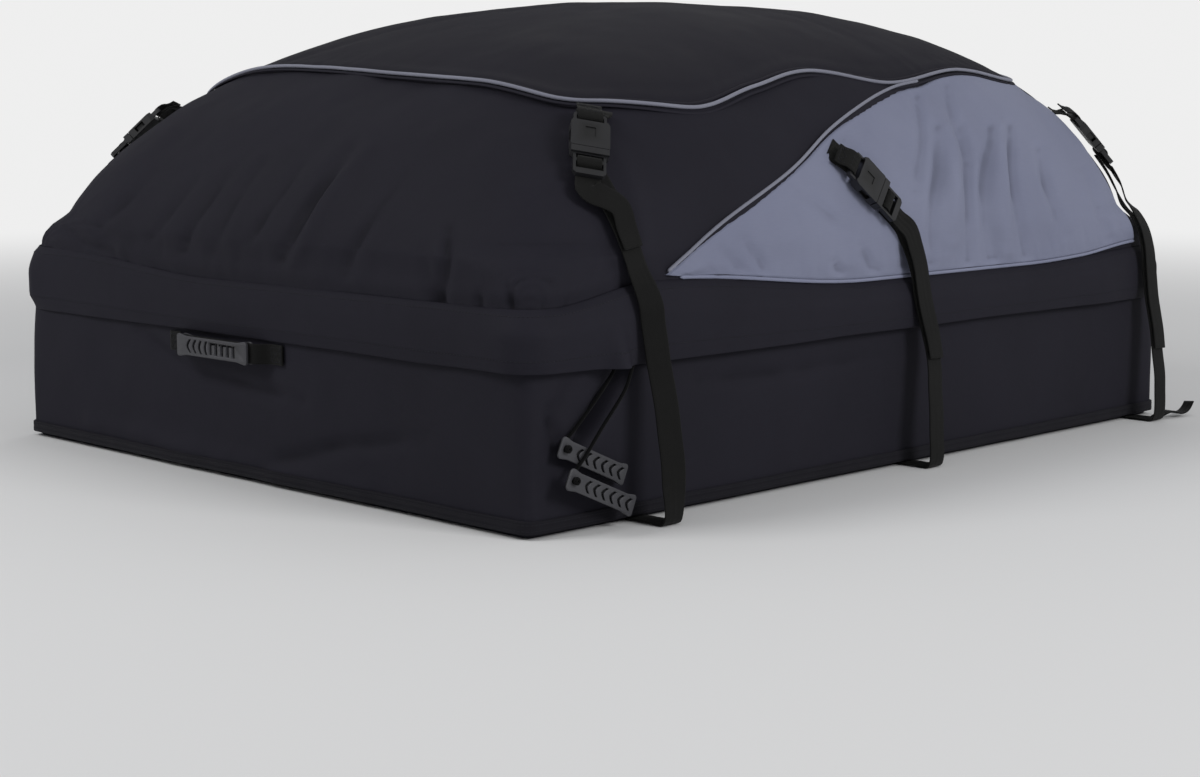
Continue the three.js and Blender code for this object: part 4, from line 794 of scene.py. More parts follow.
PANEL_FRONT, PANEL_REAR, PANEL_REAR_FOOT = HALF_LENGTH - 200, -HALF_LENGTH + 64, 233
PANEL_TOP_REAR, JOIN_REACH = -HALF_LENGTH + 154, 45
EDGE_INSET = PIPING_RADIUS + 0.8
LOOP_COARSE = spaced(CROWN_LOOP, 84, closed=True)


def panel_top_points():
    """Places and heights of the side panels' upper edge, from the front to the rear."""
    drop = EDGE_INSET + 1
    out = [tuple(p) for p in catmull(DIAGONAL, np.linspace(0, 1, 9)) - [0, drop]]
    join = out[-1][0] - JOIN_REACH
    lowered = LOOP_COARSE - loop_inward(LOOP_COARSE) * drop
    for p, q in list(zip(LOOP_COARSE, lowered))[::2]:
        if p[1] > 0 and PANEL_TOP_REAR < p[0] < join:
            out.append((q[0], float(on_top(*q)[2])))
    return out


PANEL_TOP = panel_top_points()
TOP_LINE = catmull(PANEL_TOP, np.linspace(0, 1, 400))
TOP_LINE = TOP_LINE[np.argsort(TOP_LINE[:, 0])]


def panel_top_at(x):
    return np.interp(x, TOP_LINE[:, 0], TOP_LINE[:, 1])


FOOT_INSET, FOOT_ROUND = 9, 16


def build_tub():
    z = np.concatenate([[0.0, 1.2, 3.2, 6.5, 11.0], np.linspace(16, ZIP_HEIGHT - 0.2, 44)])
    rounded_foot = FOOT_INSET * (1 - np.sin(np.clip(z / FOOT_ROUND, 0, 1) * np.pi / 2)) ** 1.1
    grid, even = rings(z, TUB_ANGLES, rounded_foot), rings(z, TUB_ANGLES)
    n = normals(even)
    grid = grid + n * (shell_relief(even, n) * smooth(grid[..., 2], 0.5, 20))[..., None]
    grid[..., 2] = np.maximum(grid[..., 2], 0)
    grid[0, :, 2] = 0
    floor = np.stack([grid[0] * [s, s, 1] for s in (0.25, 0.6, 0.9)])
    grid = np.concatenate([floor, grid])
    obj = shell("tub_shell", grid, (0, 0, 0), grid[-1].mean(axis=0) - [0, 0, 30])
    finish_piece(obj, "bag", "black_fabric", "lower_tub")


UNDER_PANELS = 13


def build_lid():
    low = np.concatenate([np.linspace(ZIP_HEIGHT + 0.2, 198, 5), np.linspace(201, 249, 20)])
    lean = np.linspace(0, np.pi / 2, 92)[:-1]
    dome = WALL_HEIGHT + DOME_HEIGHT * np.sin(lean) ** (2 / RISE_POWER)
    grid = rings(np.concatenate([low, dome]), LID_ANGLES)
    n = normals(grid)
    under = panel_mask(grid, n)
    grid = grid + n * (shell_relief(grid, n) * (1 - 0.8 * under) - UNDER_PANELS * under)[..., None]
    obj = shell("lid_shell", grid, (0, 0, 120), (-CROWN_SETBACK, 0, CROWN_HEIGHT - 3.5))
    finish_piece(obj, "bag", "black_fabric", "lid_cover")


build_tub()
build_lid()

# Crown panel and piping

def build_crown():
    cols, rows = 480, 54
    rim = spaced(CROWN_LOOP, cols, closed=True)
    edge = rim + loop_inward(rim) * EDGE_INSET
    share = np.concatenate([np.linspace(0, 0.08, 9)[:-1], np.linspace(0.08, 0.985, rows - 8)])
    plan = edge + (LOOP_CENTRE - edge) * share[:, None, None]
    grid = on_top(plan[..., 0], plan[..., 1])
    n = normals(grid)
    away = share[:, None] * np.linalg.norm(edge - LOOP_CENTRE, axis=1)
    gathers = 0.9 * puckers(away, walked(rim), 19, 22, 3)
    relief = layered(grid, CROWN_SLACK) * smooth(away, 0, 30) + gathers + 0.5
    relief = relief + 1.2 * bell(away - 9, 7) - 1.6 * (1 - smooth(away, 0, 3.5))
    grid = grid + n * (relief - crown_creases(grid))[..., None]
    grid = np.concatenate([grid[:1] - n[:1] * 3, grid])
    obj = shell("crown_cloth", grid, None, (-CROWN_SETBACK, 0, float(grid[-1, :, 2].mean())))
    finish_piece(obj, "bag", "crown_fabric", "crown_panel")


# Creases of the crown: depth and half width, then the line's places on the bag
CROWN_LINES = [
    (1.6, 14, [(330, -200), (180, -60), (40, 90)]),
    (1.4, 12, [(300, 220), (200, 140), (60, 60)]),
    (1.5, 16, [(-380, 180), (-240, 60), (-80, -20)]),
    (1.3, 12, [(-360, -220), (-220, -150), (-60, -130)]),
    (1.2, 12, [(120, -300), (60, -190), (-20, -90)]),
    (1.2, 12, [(-120, 300), (-90, 200), (-20, 110)]),
]


def crown_creases(p):
    total = 0
    for depth, half, line in CROWN_LINES:
        away = [np.hypot(p[..., 0] - x, p[..., 1] - y) for x, y in centripetal(line, False, 8)]
        total = total + depth * bell(np.min(away, axis=0), half)
    return total


def tube(name, centre, radius, sides, closed=False, up=None, flatten=1.0):
    """A round cord along points, its ends rounded off where it is open."""
    centre = np.asarray(centre, float)
    if closed:
        run = unit(np.roll(centre, -1, axis=0) - np.roll(centre, 1, axis=0))
    else:
        run = unit(np.gradient(centre, axis=0))
    if up is None:
        up = np.zeros_like(centre)
        side = np.cross(run[0], [0, 0, 1.0])
        carried = unit(side if np.linalg.norm(side) > 0.1 else np.cross(run[0], [0, 1.0, 0]))
        for i in range(len(centre)):
            carried = unit(carried - run[i] * (carried @ run[i]))
            up[i] = carried
    out = unit(np.cross(run, up))
    up = unit(np.cross(out, run))
    turn = 2 * np.pi * np.arange(sides) / sides
    scale = np.full(len(centre), 1.0) * radius
    if not closed:
        for i, share in ((0, 0.35), (1, 0.8)):
            scale[[i, -1 - i]] *= share
    ring = out[:, None] * np.cos(turn)[None, :, None] + flatten * up[:, None] * np.sin(turn)[None, :, None]
    grid = centre[:, None] + ring * scale[:, None, None]
    faces = grid_faces(len(centre), sides, wrap=True, flip=True)
    last = (len(centre) - 1) * sides
    if closed:
        faces += [(i, (i + 1) % sides, last + (i + 1) % sides, last + i) for i in range(sides)]
    else:
        faces += end_faces(sides, last)
    whole = ring_length(centre) if closed else 0
    uv = stacked(turn * radius, walked(centre)[:, None])
    return make_mesh(name, grid, faces, uv, around=(2 * np.pi * radius, whole))


CROWN_CORD, SIDE_CORD, LIP_RADIUS = 2.0, 1.8, 2.1


def build_piping():
    line = spaced(CROWN_LOOP, 620, closed=True)
    base = on_top(line[:, 0], line[:, 1])
    n = normals(base)
    lift = LAY_GAP + PIPING_RADIUS - 0.4 + 0.35 * slack(base, 34)
    obj = tube("crown_piping_cord", base + n * lift[:, None], CROWN_CORD, 14, closed=True, up=n)
    finish_piece(obj, "bag", "piping", "crown_piping")
    for i, (inset, look) in enumerate(((4.6, "crown_fabric"), (-4.4, "black_fabric"))):
        edge = line + loop_inward(line) * inset
        flat = on_top(edge[:, 0], edge[:, 1])
        n = normals(flat)
        name = "crown_seam_lip_" + str(i)
        lip = tube(name, flat + n * 0.75, LIP_RADIUS, 8, closed=True, up=n, flatten=0.55)
        finish_piece(lip, "bag", look)
    line = catmull(DIAGONAL, np.linspace(0.01, 0.985, 260))
    base = on_side(line[:, 0], line[:, 1])
    n = normals(base)
    left = tube("side_piping_cord_left", base + n * (LAY_GAP + PIPING_RADIUS - 0.9), SIDE_CORD, 12, up=n)
    finish_both(left, "piping", "side_piping_")


build_crown()
build_piping()

# Grey side panels

def build_side_panel():
    cols, rows = 300, 84
    u, v = np.linspace(0, 1, cols), np.linspace(0, 1, rows)[:, None]
    x = PANEL_FRONT * (1 - u) + PANEL_REAR * u
    foot = stacked(x, panel_foot(x))
    top = catmull(PANEL_TOP, u)
    top[:, 1] = np.maximum(top[:, 1], foot[:, 1] + 2.5)
    flat = foot * (1 - v)[..., None] + top * v[..., None]
    grid = on_side(flat[..., 0], flat[..., 1])
    n = normals(grid)
    tall = np.linalg.norm(top - foot, axis=1)
    low, high = v * tall, (1 - v) * tall
    fade = smooth(low, 0, 20) * smooth(high, 0, 20)
    relief = layered(grid, PANEL_SLACK) * fade
    relief = relief + 1.1 * puckers(low, x, 15, 22, 4) * smooth(low, 0, 5)
    relief = relief + 0.7 * puckers(high, x, 17, 20, 5) * smooth(high, 0, 5)
    relief = relief + 1.3 - 1.7 * (1 - smooth(low, 0, 3.5)) - 1.5 * (1 - smooth(high, 0, 3.5))
    folds = 2.2 * crease_depth(grid, n, PANEL_CREASES, 1.35)
    relief = relief - folds * smooth(low, 0, 12) * smooth(high, 0, 12)
    grid = grid + n * relief[..., None]
    grid = np.concatenate([grid[:1] - n[:1] * 3, grid, grid[-1:] - n[-1:] * 3])
    uv = stacked(walked(grid[rows // 2]), run_lengths(grid, 0))
    left = make_mesh("side_cloth_left", grid, grid_faces(rows + 2, cols), uv)
    finish_both(left, "grey_fabric", "side_panel_")
    line = on_side(x, foot[:, 1] - 1)
    line = line + normals(line)
    lip = tube("panel_foot_lip_left", line, 1.9, 8, up=normals(line), flatten=0.6)
    finish_both(lip, "grey_fabric")


build_side_panel()

# The zip line round the wall: it starts and ends on the rear wall, just inside the corners

CORNER, REAR_REACH = 28.0, 100.0
CX, CY = HALF_LENGTH - CORNER, HALF_WIDTH - CORNER
LONG_RUN, CROSS_RUN, QUARTER = 2 * CX, 2 * CY, np.pi / 2 * CORNER
LEFT_START = QUARTER + REAR_REACH
FRONT_CORNER = LEFT_START + LONG_RUN
FLAP_RUN = 2 * REAR_REACH + 4 * QUARTER + 2 * LONG_RUN + CROSS_RUN
# Where the leaders lift the flap's hem, on the left side, how far and over what half width
LIFT_AT, HEM_LIFT, LIFT_HALF = LEFT_START + CX + HALF_LENGTH - 104, 17, 15


def zip_line(distance):
    """Places along the zip, from the rear wall round the left, front and right sides, and the way out."""
    d = np.asarray(distance, float)
    p, out = np.zeros(d.shape + (3,)), np.zeros(d.shape + (3,))
    # Each leg has its length and where it starts, or a corner's centre. Then a straight leg has the way that
    # it goes and the way out, and a corner has the angle that it turns from.
    legs = (
        (REAR_REACH, (-HALF_LENGTH, CY - REAR_REACH), (0, 1), (-1, 0)),
        (QUARTER, (-CX, CY), np.pi),
        (LONG_RUN, (-CX, HALF_WIDTH), (1, 0), (0, 1)),
        (QUARTER, (CX, CY), np.pi / 2),
        (CROSS_RUN, (HALF_LENGTH, CY), (0, -1), (1, 0)),
        (QUARTER, (CX, -CY), 0.0),
        (LONG_RUN, (CX, -HALF_WIDTH), (-1, 0), (0, -1)),
        (QUARTER, (-CX, -CY), -np.pi / 2),
        (REAR_REACH + 1, (-HALF_LENGTH, -CY), (0, 1), (-1, 0)),
    )
    start = 0.0
    for run, origin, *ways in legs:
        e = d - start
        if len(ways) == 2:
            way, facing = (np.array([*w, 0]) for w in ways)
            at = np.array([*origin, 0]) + way * e[..., None]
        else:
            a = ways[0] - e / CORNER
            facing = stacked(np.cos(a), np.sin(a), 0)
            at = facing * CORNER + [*origin, 0]
        here = ((d >= start) & (d <= start + run))[..., None]
        p, out = np.where(here, at, p), np.where(here, facing, out)
        start += run
    return p, out


def wall_inset(p, out, z):
    """How far the bag's surface lies inside the zip line at height z, found by halving."""
    p = stacked(p[..., 0], p[..., 1], z)
    low, high = np.zeros(p.shape[:-1]), np.full(p.shape[:-1], CORNER)
    for _ in range(30):
        middle = (low + high) / 2
        beyond = field(p - out * middle[..., None]) > 1
        low, high = np.where(beyond, middle, low), np.where(beyond, high, middle)
    return low


def over_sliders(d):
    """1 where the sliders run under the flap, on the left side and just round its front corner."""
    return smooth(d, LEFT_START, LEFT_START + 120) * (1 - smooth(d, FRONT_CORNER + 30, FRONT_CORNER + 110))


CLOSE_STAND = 5.6


def flap_stand(d):
    """The flap clears the sliders on the left side, and lies close over the chain elsewhere."""
    return CLOSE_STAND + (FLAP_STAND - CLOSE_STAND) * over_sliders(d)


def flap_surface(d, share):
    """The middle of the rain flap, at distances d round the bag and shares from its seam to its hem."""
    p, out = zip_line(d)
    seam = seam_height(p, out)
    profile = smooth(share, -0.12, 0.44) - (0.62 - 0.47 * over_sliders(d)) * smooth(share, 0.74, 1.02)
    sewn = 2.0 + 2.4 * np.abs(out[..., 0] * out[..., 1]) - wall_inset(p, out, seam)
    sewn = sewn - 4.2 * (1 - smooth(share, 0, 0.11))
    peak = HEM_LIFT * bell(d - LIFT_AT, LIFT_HALF) * share ** 2
    off = sewn * (1 - profile) + flap_stand(d) * profile + peak
    z = seam * (1 - share) + FLAP_BOTTOM * share
    along = stacked(d, z, 0)
    off = off + layered(along, FLAP_SLACK) * smooth(share, 0.05, 0.7) * 0.55
    off = off + 0.9 * puckers(share * 54, d, 24, 14, 7) * smooth(share, 0.02, 0.12)
    z = z + 1.3 * slack(along + 300, 120) * smooth(share, 0.5, 1)
    place = p + out * off[..., None]
    place[..., 2] = z
    return place, out


def build_flap():
    d = np.linspace(0.5, FLAP_RUN - 0.5, 1150)
    share = np.concatenate([np.linspace(0, 0.24, 8), np.linspace(0.3, 0.74, 7), np.linspace(0.78, 1, 8)])
    run, drop = np.meshgrid(d, share)
    middle, out = flap_surface(run, drop)
    half = (0.6 + 0.25 * smooth(drop, 0.78, 0.82)) * (1 - 0.5 * smooth(drop, 0.985, 1))
    front, back = middle + out * half[..., None], middle - out * half[..., None]
    tip = (front[-1:] + back[-1:]) / 2 - [0, 0, 0.7]
    grid = np.concatenate([front, tip, back[::-1]])
    rows, cols, _ = grid.shape
    last = (rows - 1) * cols
    faces = grid_faces(rows, cols)
    faces += [(last + i, last + i + 1, i + 1, i) for i in range(cols - 1)]
    ends = [[row * cols + col for row in range(rows)] for col in (0, cols - 1)]
    faces += [tuple(ends[0][::-1]), tuple(ends[1])]
    obj = make_mesh("storm_flap_cloth", grid, faces, stacked(d, run_lengths(grid, 0)))
    finish_piece(obj, "bag", "black_fabric", "storm_flap")
    seams = flap_surface(d, np.zeros(d.shape))[0][:, 2]
    drop, run = (seams - FLAP_BOTTOM) * MM, FLAP_RUN * MM
    for i, (share, lift) in enumerate(((0.1, 0.75), (0.8, 0.95))):
        d = np.arange(6, FLAP_RUN - 6, 1.4)
        line, out = flap_surface(d, np.full(d.shape, share))
        stitches("flap_stitches_" + str(i), line + out * lift, out)


def stitches(name, line, out, pitch=4.4, length=3.0, radius=0.34):
    """Single thread stitches along a line, each a short rounded bar half sunk in the cloth."""
    sides = 5
    stops = ((0.0, -0.45, 0.5), (0.2, 0.0, 1.0), (0.8, 0.0, 1.0), (1.0, -0.45, 0.5))
    lengths = walked(line)
    starts = np.arange(1.0, lengths[-1] - length, pitch)
    a, b = resampled(line, lengths, starts), resampled(line, lengths, starts + length)
    up = unit(resampled(out, lengths, starts + length / 2))
    side = unit(np.cross(unit(b - a), up))
    points = []
    for share, dip, scale in stops:
        centre = a + (b - a) * share + up * dip * radius
        for t in 2 * np.pi * np.arange(sides) / sides:
            points.append(centre + (side * np.cos(t) + up * np.sin(t)) * radius * scale)
    single = grid_faces(len(stops), sides, wrap=True, flip=True)
    single += end_faces(sides, (len(stops) - 1) * sides)
    faces = [tuple(v + i * len(points) for v in face) for i in range(len(starts)) for face in single]
    obj = make_mesh(name, np.stack(points, axis=1), faces)
    return finish_piece(obj, "bag", "thread", slot="webbing")


HEM_MIDDLE = 10.8


def build_hem():
    z = np.concatenate([[4.6, 4.6], np.linspace(5.0, 16.6, 9), [17, 17]])
    proud = np.concatenate([[0.4, 1.9], np.full(9, 2.4), [1.9, 0.4]])
    base = rings(z, TUB_ANGLES)
    n = unit(normals(base) * [1, 1, 0])
    shape = shell_relief(rings(np.full(z.shape, 14.0), TUB_ANGLES), n) * 0.6
    grid = base + n * (proud[:, None] + shape + 0.3 * slack(base, 16))[..., None]
    grid[..., 2] += 0.7 * slack(base, 60)
    middle = grid[6]
    uv = stacked(z[:, None] - HEM_MIDDLE, walked(middle))
    faces = grid_faces(*grid.shape[:2], wrap=True)
    obj = make_mesh("hem_binding", grid, faces, uv, around=(0, ring_length(middle)))
    finish_piece(obj, "bag", "binding_black", "base_hem", slot="black_fabric")
    for i, row in enumerate((4, 8)):
        line, out = (np.vstack([part[row], part[row][:1]]) for part in (grid, n))
        stitches("hem_stitches_" + str(i), line + out * 0.1, out)


build_flap()
build_hem()

# Zip chain under the flap

# The tape's section: height and distance out from the zip line
TAPE_SECTION = (
    (163, 0.9), (163.4, 2.3), (174.6, 2.4), (175.2, 2.6),
    (180.8, 2.6), (181.4, 2.4), (192.6, 2.3), (193, 0.9),
)
# A tooth's corners: along the zip, up from its middle and out
TOOTH = (
    (-0.42, 0.2, 2.5), (0.42, 0.2, 2.5), (0.36, 2.4, 2.5), (-0.36, 2.4, 2.5),
    (-0.34, 0.35, 4.1), (0.34, 0.35, 4.1), (0.28, 2.1, 3.9), (-0.28, 2.1, 3.9),
)
TOOTH_FACES = ((0, 3, 2, 1), (4, 5, 6, 7), (0, 1, 5, 4), (1, 2, 6, 5), (2, 3, 7, 6), (3, 0, 4, 7))
TOOTH_PITCH, TOOTH_OVERLAP = 1.9, 0.35
# Where the tape and its teeth start, from the flap's own start
TAPE_START, TEETH_START = LEFT_START + 112 - CORNER, LEFT_START + 114 - CORNER


def build_zip():
    d = np.linspace(TAPE_START, FLAP_RUN - TAPE_START, 620)
    p, out = zip_line(d)
    foot, top = TAPE_SECTION[0][0], TAPE_SECTION[-1][0]
    on_wall = 0.9 - wall_inset(p, out, foot)[:, None]
    section = ((foot, on_wall), *TAPE_SECTION, (top, on_wall))
    grid = np.stack([p + out * off + [0, 0, z] for z, off in section])
    uv = stacked(d, run_lengths(grid, 0))
    obj = make_mesh("zip_tape", grid, grid_faces(*grid.shape[:2]), uv)
    finish_piece(obj, "bag", "binding_black", "zip_chain", slot="zip_coil")
    at = np.arange(TEETH_START, FLAP_RUN - TEETH_START, TOOTH_PITCH)
    run = unit(zip_line(at + 0.5)[0] - zip_line(at - 0.5)[0])
    points, faces = [], []
    for side in (-1, 1):
        p, out = zip_line(at + side * TOOTH_PITCH / 4)
        corners = [p + run * along + out * off for along, _, off in TOOTH]
        for corner, (_, up, _) in zip(corners, TOOTH):
            corner[:, 2] = ZIP_HEIGHT + side * (up - TOOTH_OVERLAP)
        for tooth in np.stack(corners, axis=1):
            faces += [tuple(len(points) + i for i in face[::side]) for face in TOOTH_FACES]
            points += list(tooth)
    teeth = make_mesh("zip_teeth", points, faces, smoothly=False)
    finish_piece(teeth, "bag", "zip_coil")


build_zip()

# Webbing

def tape_section(width, thickness):
    """Webbing's outline: a little fuller in the middle, with rounded edges."""
    half, edge = width / 2, thickness / 2
    flat = np.linspace(-(half - edge), half - edge, 9)
    turn = np.radians([60, 30, 0, -30, -60])
    top = [(u, edge * (1.0 + 0.12 * np.cos(u / half * np.pi) ** 2)) for u in flat]
    right = [(half - edge + edge * np.cos(t), edge * np.sin(t)) for t in turn]
    under = [(u, -h) for u, h in reversed(top)]
    left = [(-x, -y) for x, y in right]
    return np.array(top + right + under + left)


DIRECTION_REACH, STATION_SAMPLES = 12, 12


def ribbon(name, stations, width, step=3.0, ripple=0.0):
    """Webbing along stations of (middle, way across). Its UV has across in u and along in v."""
    middle, across = (np.array([station[k] for station in stations], float) for k in (0, 1))
    stations = np.hstack([middle, unit(across) * DIRECTION_REACH])
    fine = centripetal(stations, False, STATION_SAMPLES, axes=3)
    lengths = walked(fine[:, :3])
    goals = np.linspace(0, lengths[-1], max(6, int(lengths[-1] / step)))
    rows = resampled(fine, lengths, goals)
    middle, across = rows[:, :3], unit(rows[:, 3:])
    run = unit(np.gradient(middle, axis=0))
    across = unit(across - run * np.sum(run * across, axis=1, keepdims=True))
    face = unit(np.cross(run, across))
    fade = smooth(goals, 0, 40) * smooth(goals[-1] - goals, 0, 40)
    waves = slack(stacked(goals, len(name) * 13, 0), 46)
    middle = middle + face * (ripple * waves * fade)[:, None]
    section = tape_section(width, WEB)
    wide, deep = section[:, :1], section[:, 1:]
    grid = middle[:, None] + across[:, None] * wide + face[:, None] * deep
    count = len(section)
    faces = grid_faces(len(goals), count, wrap=True, flip=True)
    faces += end_faces(count, (len(goals) - 1) * count)
    return make_mesh(name, grid, faces, stacked(wide[:, 0], goals[:, None])), middle, across, face


# The room between webbing and moulding, the webbing's thickness, the bars' thickness, and the height of the
# webbing's middle where it lies lowest
CLEAR, WEB, BAR, WEB_ON_GROUND = 0.4, 1.6, 5.0, 1.8
# How high the cloth under a strap stands: bare shell, or a side panel
BARE_BED, PANEL_BED = 0.8, 1.3
# Each strap's line goes by places from origin, counted the given way, with levels. bed is what it lies on,
# mouth is how far along it the buckle is, tail is the level that the loose tail ends at, and settle is how
# far its anchor sinks in. Below the dome it stands further out by over, and turns by turn degrees.
STRAPS = {
    "front": dict(
        origin=HALF_LENGTH, way=-1, bed=BARE_BED, settle=0, over=8, turn=22, mouth=78, tail=1.02,
        spine=[
            (183, 1.531), (140, 1.395), (125, 1.289), (134, 1.06),
            (139, 0.83), (144, 0.6), (145, 0.3), (145, 0),
        ],
    ),
    "middle": dict(
        origin=0, way=1, bed=PANEL_BED, settle=0, over=0, turn=0, mouth=78, tail=0.47,
        spine=[(88, 1.39), (43, 1.188), (-10, 1), (-22, 0.754), (-33, 0.532), (-26, 0.26), (-26, 0)],
    ),
    "rear": dict(
        origin=-HALF_LENGTH, way=1, bed=PANEL_BED, settle=0.7, over=1, turn=0, mouth=84, tail=0.36,
        spine=[
            (129, 1.543), (102, 1.426), (61, 1.242), (55, 0.95),
            (56, 0.78), (54, 0.58), (56, 0.3), (56, 0),
        ],
    ),
}
# How far the straps stand off the wall: heights and distances
OFF_WALL = (
    (0, 37), (20, 38), (60, 36), (110, 28), (152, 18.5),
    (190, 14), (206, 13), (222, 9), (236, 5), (262, 0),
)
OFF_WALL_TOP = OFF_WALL[-1][0]
LOAD_HEIGHTS = (OFF_WALL_TOP, 247, 236, 222, 206, 190, 172, FLAP_BOTTOM, 130, 110, 85, 60, 38, 20, 9)
SPAN_COUNT = 160


class Strap:
    """One strap's line on the bag's left side, with the places that its webbing goes through."""

    def __init__(self, origin, way, bed, settle, over, turn, mouth, tail, spine):
        self.settle, self.over, self.mouth, self.tail = settle, over, mouth, tail
        self.turn = math.radians(turn)
        places = [(origin + way * x, level) for x, level in spine]
        line = catmull(places, np.linspace(0, 1, SPAN_COUNT + 1))
        self.points = on_side(line[:, 0], height_at(np.maximum(0.004, line[:, 1])))
        self.lengths = walked(self.points)
        self.lay = bed + WEB / 2
        self.middle = bed + 8.7
        self.frame = self.at(mouth)

    def at(self, s):
        """The place at length s, the way along, the way out and the way across."""
        i = 1
        while i < SPAN_COUNT and self.lengths[i] < s:
            i += 1
        span = max(1e-6, self.lengths[i] - self.lengths[i - 1])
        part = min(1, max(0, (s - self.lengths[i - 1]) / span))
        p = self.points[i - 1] * (1 - part) + self.points[i] * part
        along = unit(self.points[min(SPAN_COUNT, i + 2)] - self.points[max(0, i - 3)])
        if p[2] < 45:
            along = np.array([0, 0, -1.0])
        out = normals(p)
        return p, along, out, unit(np.cross(out, along))

    def height(self, z):
        """The length at which the strap comes down to height z."""
        i = 1
        while i < SPAN_COUNT and self.points[i][2] > z:
            i += 1
        a, b = self.points[i - 1][2], self.points[i][2]
        part = min(1, max(0, (a - z) / max(1e-6, a - b)))
        return self.lengths[i - 1] * (1 - part) + self.lengths[i] * part

    def on_bag(self, s, h):
        """A station at length s, h above the cloth."""
        p, along, out, across = self.at(s)
        angle = self.turn * (1 - float(smooth(p[2], SEAM_LOW, WALL_HEIGHT))) * float(smooth(p[2], 8, 50))
        return p + out * h, across * math.cos(angle) + np.cross(along, across) * math.sin(angle)

    def on_buckle(self, places):
        """Stations in the buckle's frame: along it, and height over the cloth under it."""
        p, along, out, across = self.frame
        return [(p + along * u + out * h, across) for u, h in places]

    def over_wall(self, z):
        extra = self.over * (1 - float(smooth(z, SEAM_LOW, WALL_HEIGHT)))
        return max(self.lay, float(np.interp(z, *zip(*OFF_WALL))) + extra)


AROUND_BAR = BAR / 2 + CLEAR + WEB / 2


def anchor_stations(strap):
    """Sewn down on the cloth, round the socket's bar and back over itself."""
    start, lay, m, bar = strap.mouth - 70, strap.lay, strap.middle, AROUND_BAR
    sewn = [strap.on_bag(s, lay - strap.settle) for s in (start, start + 5)]
    return sewn + strap.on_buckle([
        (-58, lay + 1.2), (-52, m - bar - 1), (-45.5, m - bar), (-40.6, m - bar + 0.2),
        (-38.8, m - 2.4), (-38.2, m), (-38.8, m + 2.4),
        (-40.6, m + bar - 0.2), (-45.5, m + bar), (-52, m + bar - 1.4), (-58, lay + 5.4), (-65, lay + 3.4),
    ])


def load_stations(strap):
    """From under the buckle down over the dome and the flap, and in at the foot of the wall."""
    start = strap.mouth + 17
    top = strap.height(OFF_WALL_TOP)
    upper = max(2, round((top - start) / 22))
    out = [strap.on_bag(start + (top - start) * i / upper, strap.lay) for i in range(upper)]
    out += [strap.on_bag(strap.height(z), strap.over_wall(z)) for z in LOAD_HEIGHTS]
    stand = strap.over_wall(WEB_ON_GROUND)
    foot = [strap.on_bag(strap.height(WEB_ON_GROUND), h) for h in (stand - 3, stand / 2, -5.2)]
    foot[0][0][2] = WEB_ON_GROUND
    return out + foot


def loop_stations(strap):
    """From the load strap's face up round the plug's bars, and down again as the loose tail."""
    m, bar = strap.middle, AROUND_BAR
    under = strap.lay + 2.1
    out = strap.on_buckle([
        (48, under), (30, under), (15, under + 0.2), (12.4, m - 3.4), (12, m), (12.8, m + 2.8), (15, m + bar),
        (18.6, m + bar), (21.4, m + 2.4), (22.6, m - 1), (25, m - bar + 0.2), (28, m - bar), (35, m - bar),
        (46, m - bar - 0.4),
    ])
    start, end = strap.mouth + 62, strap.height(float(height_at(strap.tail)))
    steps = max(1, round((end - start) / 20))
    for i in range(steps + 1):
        s = start + (end - start) * i / steps
        ease = 1 - i / steps
        out.append(strap.on_bag(s, strap.over_wall(strap.at(s)[0][2]) + 3.9 + 4 * ease * ease))
    return out


def body_like(node):
    return body_of(frame["nodes"][node])[0]


TACK_HALF, TACK_LIFT = 9.0, 0.95


def cross_stitches(name, middle, across, face, spans):
    """Boxed cross stitching on webbing, between two stations."""
    first, last = ((middle[i] - across[i] * TACK_HALF, middle[i] + across[i] * TACK_HALF) for i in spans)
    corners = [first[0], last[0], last[1], first[1], first[0], last[1], last[0], first[1]]
    line = np.concatenate([np.linspace(p, q, 12)[:-1] for p, q in zip(corners, corners[1:])])
    out = np.repeat(unit(face[sum(spans) // 2])[None], len(line), axis=0)
    return stitches(name, line + out * TACK_LIFT, out, pitch=3.2, length=2.3, radius=0.3)


def build_straps():
    for name, facts in STRAPS.items():
        strap = Strap(**facts)
        for piece, stations, width, ripple in (
            ("anchor_tab", anchor_stations(strap), 25, 0.0),
            ("load_strap", load_stations(strap), 25, 0.55),
            ("loop_tail", loop_stations(strap), 24, 0.35),
        ):
            left, right = (name + side + piece for side in ("_left_", "_right_"))
            obj, middle, across, face = ribbon(left + "_webbing", stations, width, ripple=ripple)
            other = mirrored(obj, right + "_webbing")
            for made, node in ((obj, left), (other, right)):
                finish_piece(made, body_like(node), "webbing", node)
            if piece == "anchor_tab":
                top = len(middle) - 2
                face = face * (1 if face[top] @ strap.frame[2] > 0 else -1)
                tack = cross_stitches(left + "_tack", middle, across, face, (top - 5, top))
                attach(mirrored(tack, name + "_right_anchor_tack"), "bag")


build_straps()

# Carry handle

def front_wall(y, z, out):
    """The point of the front wall at y and height z, moved out."""
    half_length, half_width, power, shift = plan_at(z)
    across = (1 - np.abs(y / half_width) ** power) ** (1 / power)
    return np.array([float(shift + half_length * across) + out, y, z])


HANDLE_MIDDLE, HANDLE_STAND = (-28.0, 138.0), 14
# Half of the handle webbing's line: distance from its middle, and out from the wall
HANDLE_PROFILE = ((20, HANDLE_STAND), (56, HANDLE_STAND), (66, 13.4), (80, 2.3), (89, 1.6), (100, 1.6))


